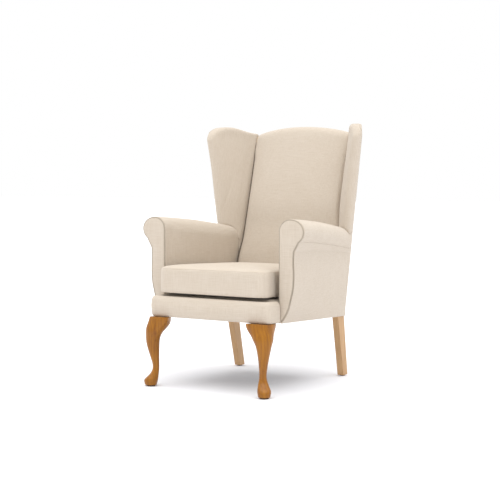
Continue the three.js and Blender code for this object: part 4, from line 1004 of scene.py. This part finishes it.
class Wings(bpy.types.Operator):
    """Padded wings and the panels on their outside"""

    bl_idname = "chair.wings"
    bl_label = "Wings"

    def execute(self, context):
        levels = [lerp(WING_FOOT, WING_LEVEL, i / 36) for i in range(37)]
        rings = [[place(p.x, p.y, z) for p in wing_outline(z)] for z in levels]
        for inward_share, down in WING_EDGE_SHARES:
            outline = wing_outline(WING_LEVEL, WING_EDGE * inward_share)
            rings.append([place(p.x, p.y, wing_top(p.y) - WING_EDGE * down) for p in outline])
        wing = loft("wing_right", rings, across=(TIP_START + TIP_STEPS // 2, 0))
        self.stand_on_arm(wing, 2.5)

        def free(x, y, z):
            """Held in the crease, on the arm and on the outside, and less free at the top."""
            nose_x, nose_y = read_at(NOSES, z)
            off_crease = smooth((Vector((x, y)) - Vector(read_at(CREASES, z))).length, 16, 45)
            off_arm = smooth(z, 640, 690)
            side_x = lerp(nose_x, CASING_HALF, (y - nose_y) / 140)
            off_side = 1 - smooth(x - side_x, 2, 12) * (y > nose_y)
            return off_crease * off_arm * off_side * (1 - smooth(z, 985, 1015) * 0.7)

        plump(wing, free, context.scene.chair_sizes.wing_swell / MILLIMETRE, pressure=3.0, voxel=5.0)
        dress_pair(wing, "cover_fabric", ["inside_wing_right", "wing_pad_right"])
        self.make_panels()
        return {"FINISHED"}

    def stand_on_arm(self, piece, sink):
        """Cuts a piece where it stands on the arm, a little below the arm's cover."""
        seat = loft("arm_seat", [arm_ring(y, tuck=-12, shrink=sink, spread=10) for y in ARM_STATIONS], True)
        apply(piece, "BOOLEAN", operation="DIFFERENCE", object=seat, solver="EXACT")
        bpy.data.objects.remove(seat)

    def make_panels(self):
        rows = []
        for i in range(22):
            z = lerp(seat_z(ARM_LENGTH, 0) + 0.8, WING_FOOT - 5, i / 21)
            front, rear = ARM_LENGTH + SEAM_GAP, back_plane(z) - SEAM_GAP
            rows.append([place(CASING_HALF, lerp(front, rear, j / 24), z) for j in range(25)])
        rows += [self.outside_line(lerp(WING_FOOT, WING_LEVEL, i / 97)) for i in range(98)]
        rows += [self.outside_line(WING_LEVEL, WING_EDGE * inward_share, WING_EDGE * down)
                 for inward_share, down in WING_EDGE_SHARES[:4]]
        right = panel("outside_wing_panel_right", rows, 3.6, 1.4)
        dress_pair(right, "cover_fabric", ["outside_wing_right"])

    def outside_line(self, z, recess=0.0, down=None):
        """A row of the panel, from the nose or the arm to the back: level, or this far down from the top."""
        seam = ARM_LENGTH + SEAM_GAP
        tip = wing_outline(z, recess, 0.0)[TIP_END]
        first = Vector((max(tip.x, CASING_HALF - recess / 2), min(tip.y, seam)))
        corner = Vector((CASING_HALF - recess / 2, back_plane(z) - SEAM_GAP))
        start = 0.0
        if down is None and z < ARM_TOP:
            for k in range(101):
                p = first.lerp(corner, k / 100)
                if p.y < seam:
                    side, roll, foot = arm_lines(min(1.0, p.y / ARM_LENGTH))
                    section = side + neck_line(side, roll) + roll + [foot]
                    if z < roll[0][1] or within(inward(section, 1.0), p.x, z):
                        start = (k + 1) / 100
        line = [first.lerp(corner, lerp(start, 1.0, j / 24)) for j in range(25)]
        return [place(p.x, p.y, z if down is None else wing_top(p.y) - down) for p in line]


# Back: level sections between the creases, with a crown across and along the top. Heights are where a
# change starts and ends.

BACK_FOOT, BACK_LEVEL, BACK_TOP = 350, 986, 1012
BACK_LIFT = 28.0
BACK_EDGE = 24.0
BACK_EDGE_SHARES = ((0.06, 0.72), *EDGE_SHARES)
CREASE_GAPS, GAP_HEIGHTS = (6.0, 4.2), (560, 660)
TOP_OVERLAP, OVERLAP_HEIGHTS = -1.5, (900, 945)
BULGES, BULGE_HEIGHTS = (4, 27), (458, 603)
LIFT_HEIGHTS = (734, BACK_TOP)
ZIP_ROOM, ZIP_ROOM_HEIGHTS = 3.8, (405, 450)
PAD_TO_POST, POST_SHARES = 1.8, (0.8, 0.88)
SIDE_OVERLAP, REAR_OVERLAP, SIDE_DEPTH = 1.2, 1.5, 12
CREASE_START = 0.955
CREASE_SHARES = [CREASE_START, 0.966, 0.977, 0.988, 1.0]
BACK_SHARES = [-v for v in reversed(CREASE_SHARES)] + [i / 22 for i in range(-20, 21)] + CREASE_SHARES


def back_ring(z, recess=0.0, rear_full=False):
    """The front between the creases, then the back of the pad, which passes in front of the posts or, where
    it is full, reaches the outside back all the way."""
    crease_x, crease_y = read_at(CREASES, z)
    gap = lerp(*CREASE_GAPS, smooth(z, *GAP_HEIGHTS))
    half = crease_x - lerp(gap, TOP_OVERLAP, smooth(z, *OVERLAP_HEIGHTS))
    bulge = lerp(*BULGES, smooth(z, *BULGE_HEIGHTS))
    lift = BACK_LIFT * smooth(z, *LIFT_HEIGHTS)
    front, rear, sides = [], [], {}
    for share in BACK_SHARES:
        height = z + lift * (1 - share * share)
        drawn = valley(z) * smooth(abs(share), CREASE_START, 1.0)
        set_back = ZIP_ROOM * (1 - smooth(height, *ZIP_ROOM_HEIGHTS))
        y = crease_y - bulge * (1 - abs(share) ** 3) + recess + drawn + set_back
        full = 1.0 if rear_full else smooth(abs(share), *POST_SHARES)
        behind = lerp(post_front(height) - PAD_TO_POST, back_plane(height) - COVER - GAP, full)
        front.append(place(share * half, min(y, behind - 2), height))
        rear.append(place(share * (crease_x + REAR_OVERLAP), behind, height))
        if abs(share) == 1.0:
            sides[share] = place(share * (crease_x + SIDE_OVERLAP), min(y + SIDE_DEPTH, behind - 1), height)
    return front + [sides[1.0]] + rear[::-1] + [sides[-1.0]]


class Back(bpy.types.Operator):
    """Padded inside back, the panel of the outside back, and the dark strips that paint shade into the
    creases
    """

    bl_idname = "chair.back"
    bl_label = "Back"

    def execute(self, context):
        rings = [back_ring(lerp(BACK_FOOT, BACK_LEVEL, i / 40)) for i in range(41)]
        rings.append(back_ring(BACK_TOP - BACK_EDGE * 0.9, BACK_EDGE * 0.02, True))
        rings += [back_ring(BACK_TOP - BACK_EDGE * down, BACK_EDGE * inward_share, True)
                  for inward_share, down in BACK_EDGE_SHARES]
        back = loft("inside_back_pad", rings, across=(0, len(rings[0]) // 2 - 1))

        def free(x, y, z):
            """Held in the creases, behind and at the foot, and less free at the top."""
            crease_x, crease_y = read_at(CREASES, z)
            off_crease = smooth(crease_x - abs(x), 8, 60)
            off_rear = 1 - smooth(y, crease_y + 4, crease_y + 16)
            return off_crease * off_rear * smooth(z, 440, 500) * (1 - smooth(z, 995, 1030) * 0.6)

        plump(back, free, context.scene.chair_sizes.back_swell / MILLIMETRE, pressure=3.0, voxel=6.0)
        dress(back, "cover_fabric", ["inside_back", "back_pad"])
        self.make_panel()
        self.line_creases()
        return {"FINISHED"}

    def make_panel(self):
        """The outside back, from the bottom of the casing to the line of the wings and the crowned top."""
        crown_half, wing_half = 228, 276
        bottom = seat_z(ARM_LENGTH, 0) + 1
        wing_rise = wing_top(back_plane(BACK_TOP)) - BACK_TOP
        rows = []
        for i in range(45):
            up = i / 44
            row = []
            for j in range(41):
                share = -1 + j / 20
                x = share * (CASING_HALF - 0.3)
                lift = BACK_LIFT * max(0.0, 1 - (x / crown_half) ** 2)
                rise = lerp(0, wing_rise, smooth(abs(x), crown_half, wing_half))
                top = BACK_TOP + lift + rise - 12 * smooth(abs(x), 262, CASING_HALF) ** 2
                z = lerp(bottom, top - 7, up)
                crown = 2.5 * (1 - share ** 4) * math.sin(math.pi * up) ** 0.5
                row.append(place(x, back_plane(z) + crown - 0.2, z))
            rows.append(row)
        outside = panel("outside_back_panel", rows[::-1], 1.8, 0.8)
        dress(outside, "cover_fabric", ["outside_back"])

    def line_creases(self):
        """Strips of dark cloth deep in the creases, where the covers are pulled down; their dark colour is
        painted shade in the creases.
        """
        thickness, rim = 1.6, 0.4
        foot, top, under_back = 368, 1002, 10
        reaches, reach_heights = (1.5, 8), (540, 570)
        rows = []
        for i in range(61):
            z = lerp(foot, top, i / 60)
            crease_x, crease_y = read_at(CREASES, z)
            y = min(crease_y + valley(z) + 0.8 + 6 * smooth(z, 960, 1000), back_plane(z) - 8)
            reach = lerp(*reaches, smooth(z, *reach_heights)) * (1 - 0.8 * smooth(z, 940, 980))
            rows.append([place(crease_x + lerp(-under_back, reach, j / 6), y, z) for j in range(7)])
        right = panel("crease_strip_right", rows, thickness, rim)
        dress_pair(right, "crease_shade_cloth")
        half, depth, height = 238, (476.4, 477.4), (318, 358)
        rows = [[place(lerp(-half, half, j / 24), lerp(*depth, i / 6), lerp(*height, i / 6))
                 for j in range(25)] for i in range(7)]
        # The seat strip is dark lining cloth that paints shade into the crease behind the cushion.
        dress(panel("crease_shade_strip_seat", rows, thickness, rim), "lining_and_gap_shade")


# Inside the seat: the lined platform and the cloth under the frame, each with its front and rear half width

PLATFORM_FRONT, PLATFORM_REAR = -49.4, 474.8
PLATFORM_HALVES = (265.2, 243.0)
PLATFORM_LEVELS = (
    (73.2, 12), (73.2, 0.5), (76, 0.2), (80, 0.6), (82, 3), (84, 9), (89, 30), (92.5, 60), (93.2, 120),
)
DUST_FRONT, DUST_REAR = -49.4, 479.0
DUST_HALVES = (241.0, 216.2)
DUST_HEIGHT, DUST_BILLOW, DUST_THICKNESS = 0.9, 0.35, 0.7


class SeatInside(bpy.types.Operator):
    """Lined platform under the cushion, and the cloth under the seat"""

    bl_idname = "chair.seat_inside"
    bl_label = "Inside of the seat"

    def execute(self, context):
        rings = [[place(x, y, seat_z(y, height)) for x, y in self.outline(inset)]
                 for height, inset in PLATFORM_LEVELS]
        platform = loft("platform", rings)
        shade(platform, 60)
        # The platform's darker lining paints shade into the gap under the seat cushion.
        dress(platform, "lining_and_gap_shade", ["platform_pad", "platform_cloth"])
        rows = []
        for i in range(21):
            y = lerp(DUST_FRONT, DUST_REAR, i / 20)
            half = lerp(*DUST_HALVES, i / 20)
            billow = DUST_BILLOW * math.sin(math.pi * i / 20)
            rows.append([
                place(lerp(half, -half, j / 24), y,
                      seat_z(y, DUST_HEIGHT) + billow * math.sin(math.pi * j / 24))
                for j in range(25)
            ])
        cloth = panel("dust_cloth_panel", rows, DUST_THICKNESS, 0.2)
        dress(cloth, "dust_cloth", ["dust_cover"])
        return {"FINISHED"}

    def outline(self, inset):
        front, rear = PLATFORM_FRONT + inset, PLATFORM_REAR - inset
        front_half, rear_half = (half - inset for half in PLATFORM_HALVES)
        right = [(front_half * i / 12, front) for i in range(12)]
        right += [(lerp(front_half, rear_half, i / 20), lerp(front, rear, i / 20)) for i in range(21)]
        right += [(rear_half * (1 - i / 12), rear) for i in range(1, 12)]
        return both_sides(right, rear)


# Front legs: rings up the cabriole. Each row gives the height as a share of the leg's height, the reach
# outwards and inwards along its diagonal as shares of the foot's reach, the half width as a share of the
# knee's, where it is widest from the inner to the outer side, and how square the section is.

LEG_PROFILE = (
    (0.000, 0.91, 0.20, 0.38, 0.50, 2.00), (0.050, 0.98, 0.14, 0.425, 0.50, 2.00),
    (0.080, 1.00, 0.10, 0.445, 0.50, 2.00), (0.110, 0.92, 0.08, 0.435, 0.50, 2.00),
    (0.150, 0.72, 0.06, 0.385, 0.50, 2.00), (0.200, 0.53, 0.03, 0.32, 0.50, 2.00),
    (0.260, 0.44, 0.01, 0.25, 0.50, 2.00), (0.330, 0.465, 0.005, 0.245, 0.50, 2.00),
    (0.400, 0.555, 0.005, 0.27, 0.50, 2.00), (0.480, 0.67, 0.00, 0.315, 0.50, 2.00),
    (0.570, 0.79, -0.01, 0.385, 0.50, 2.00), (0.650, 0.86, -0.03, 0.46, 0.50, 2.00),
    (0.720, 0.88, -0.10, 0.545, 0.50, 1.95), (0.780, 0.88, -0.26, 0.66, 0.48, 1.85),
    (0.840, 0.85, -0.52, 0.75, 0.42, 1.70), (0.900, 0.76, -0.72, 0.89, 0.36, 1.50),
    (0.965, 0.66, -0.78, 1.00, 0.32, 1.40), (1.040, 0.57, -0.80, 1.00, 0.30, 1.35),
)
LEG_AXIS = (239.0, -79.0)
LEG_REACH, LEG_HALF = 61.0, 58.0
LEG_FOOT, LEG_TOP_GAP = 5.4, 0.4
LEG_SIDES = 48
LEG_DIAGONAL = math.sqrt(0.5)


def leg_ring(up, outer, inner, wide, widest, power):
    out, back = outer * LEG_REACH, inner * LEG_REACH
    centre = lerp(back, out, widest)
    z = max(up * SEAT_BOTTOM, LEG_FOOT)
    ring = []
    for i in range(LEG_SIDES):
        a = 2 * math.pi * i / LEG_SIDES
        cos, sin = math.cos(a), math.sin(a)
        reach = out - centre if cos > 0 else centre - back
        along = centre + reach * math.copysign(abs(cos) ** (2 / power), cos)
        across = wide * LEG_HALF * math.copysign(abs(sin) ** (2 / power), sin)
        ring.append(place(LEG_AXIS[0] + (along - across) * LEG_DIAGONAL,
                          LEG_AXIS[1] - (along + across) * LEG_DIAGONAL, z))
    return ring


class FrontLegs(bpy.types.Operator):
    """Polished cabriole front legs"""

    bl_idname = "chair.front_legs"
    bl_label = "Front legs"

    def execute(self, context):
        leg = loft("front_leg_right_turned", [leg_ring(*row) for row in through(LEG_PROFILE, 5)])
        bpy.ops.object.mode_set(mode="EDIT")
        bpy.ops.mesh.select_all(action="SELECT")
        bpy.ops.mesh.bisect(plane_co=place(0, 0, seat_z(0, -LEG_TOP_GAP)),
                            plane_no=Vector((0, SEAT_DROP / SEAT_LENGTH, 1)).normalized(),
                            use_fill=True, clear_outer=True)
        bpy.ops.object.mode_set(mode="OBJECT")
        apply(leg, "BEVEL", width=1.2 * MILLIMETRE, segments=2, limit_method="ANGLE",
              angle_limit=math.radians(55))
        face_out(leg)
        shade(leg, 45)
        dress_pair(leg, "honey_oak", ["front_leg_right"])
        return {"FINISHED"}


# The rigid pieces of the frame and the webbing keep their own shape. Rows give the start of their names,
# their finish and how wide their edges are eased.

KEPT_PIECES = (
    (("back_post",), "pale_beech", 2.0),
    (("front_rail", "rear_rail", "top_back_rail", "lower_back_rail"), "rail_beech", 1.0),
    (("side_rail", "corner_block", "arm_rail", "arm_front_board", "wing_board"), "side_beech", 1.0),
    (("seat_web", "back_web"), "webbing", 0.4),
    (("front_glide", "rear_glide"), "glide_plastic", 0.4),
    (("leg_bolt",), "steel", 0.4),
)


def fine_edges(piece, width):
    """Joins a node's faces and takes the sharpness off its edges, without changing its mesh."""
    weld = piece.modifiers.new("Joined faces", "WELD")
    weld.merge_threshold = MERGE
    bevel = piece.modifiers.new("Eased edges", "BEVEL")
    bevel.width = width * MILLIMETRE
    bevel.segments = 3
    bevel.limit_method = "ANGLE"
    bevel.angle_limit = math.radians(30)
    for polygon in piece.data.polygons:
        polygon.use_smooth = False


class FrameAndWebbing(bpy.types.Operator):
    """Rear legs, hidden frame, webbing, glides and bolts: grain, eased edges and wear"""

    bl_idname = "chair.frame_and_webbing"
    bl_label = "Frame and webbing"

    def execute(self, context):
        for name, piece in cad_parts.items():
            for starts, material, width in KEPT_PIECES:
                if name.startswith(starts):
                    for slot in piece.material_slots:
                        slot.material = finish(material)
                    fine_edges(piece, width)
        return {"FINISHED"}


# Floor, light and camera. The lens and the sensor are in millimetres, the rest in metres and radians.

FLOOR_SIZE, FLOOR_COLOUR = 80, (0.89, 0.895, 0.925, 1)
WORLD_COLOUR, WORLD_STRENGTH = (1.0, 1.0, 1.0, 1), 1.0
SUN_STRENGTH, SUN_SPREAD, SUN_TRAVEL = 2.2, math.radians(75), (-0.08, 0.14, -1.0)
CAMERA_PLACE = (2.5891, -4.1296, 0.8070)
CAMERA_YAW, CAMERA_PITCH = -0.5660, -0.0573
LENS, SENSOR = 86.4, 36


def look_along(thing, direction):
    thing.rotation_mode = "QUATERNION"
    thing.rotation_quaternion = Vector(direction).to_track_quat("-Z", "Y")


class Stage(bpy.types.Operator):
    """Pale floor, soft studio light and the camera"""

    bl_idname = "chair.stage"
    bl_label = "Floor, light and camera"

    def execute(self, context):
        scene = context.scene
        scene.view_settings.view_transform = "Standard"
        bpy.ops.object.select_all(action="DESELECT")
        bpy.ops.mesh.primitive_plane_add(size=FLOOR_SIZE)
        floor = context.active_object
        floor.name = "studio_floor"
        material, tree, surface = new_material("studio_floor", 0.9, Specular_IOR_Level=0.0)
        surface.inputs["Base Color"].default_value = FLOOR_COLOUR
        floor.data.materials.append(material)
        world = bpy.data.worlds.new("studio")
        world.use_nodes = True
        background = world.node_tree.nodes["Background"]
        background.inputs[0].default_value = WORLD_COLOUR
        background.inputs[1].default_value = WORLD_STRENGTH
        scene.world = world
        data = bpy.data.lights.new("soft_sky", "SUN")
        data.energy = SUN_STRENGTH
        data.angle = SUN_SPREAD
        lamp = bpy.data.objects.new("soft_sky", data)
        scene.collection.objects.link(lamp)
        look_along(lamp, SUN_TRAVEL)
        camera = bpy.data.objects.new("camera", bpy.data.cameras.new("camera"))
        scene.collection.objects.link(camera)
        camera.data.lens = LENS
        camera.data.sensor_width = SENSOR
        camera.location = CAMERA_PLACE
        level = math.cos(CAMERA_PITCH)
        look_along(camera, (
            math.sin(CAMERA_YAW) * level, math.cos(CAMERA_YAW) * level, math.sin(CAMERA_PITCH)))
        scene.camera = camera
        return {"FINISHED"}


STEPS = (
    Stage, SeatCushion, CushionZip, FrontBorder, Arms, Wings, Back, SeatInside, FrontLegs, FrameAndWebbing,
)


class ChairPanel(bpy.types.Panel):
    """Sizes and colours of the chair, and a button for each group of pieces"""

    bl_idname = "VIEW3D_PT_fireside_chair"
    bl_label = "Fireside chair"
    bl_space_type = "VIEW_3D"
    bl_region_type = "UI"
    bl_category = "Fireside chair"

    def draw(self, context):
        for group in (context.scene.chair_sizes, context.scene.chair_colours):
            for key in group.bl_rna.properties.keys():
                if key not in ("rna_type", "name"):
                    self.layout.prop(group, key)
        for step in STEPS:
            self.layout.operator(step.bl_idname)


CLASSES = (ChairSizes, ChairColours, *STEPS, ChairPanel)


def register():
    for made in CLASSES:
        bpy.utils.register_class(made)
    bpy.types.Scene.chair_sizes = bpy.props.PointerProperty(type=ChairSizes)
    bpy.types.Scene.chair_colours = bpy.props.PointerProperty(type=ChairColours)


def unregister():
    del bpy.types.Scene.chair_sizes
    del bpy.types.Scene.chair_colours
    for made in reversed(CLASSES):
        bpy.utils.unregister_class(made)


def main():
    register()
    for step in STEPS:
        group, name = step.bl_idname.split(".")
        getattr(getattr(bpy.ops, group), name)()


if __name__ == "__main__":
    main()
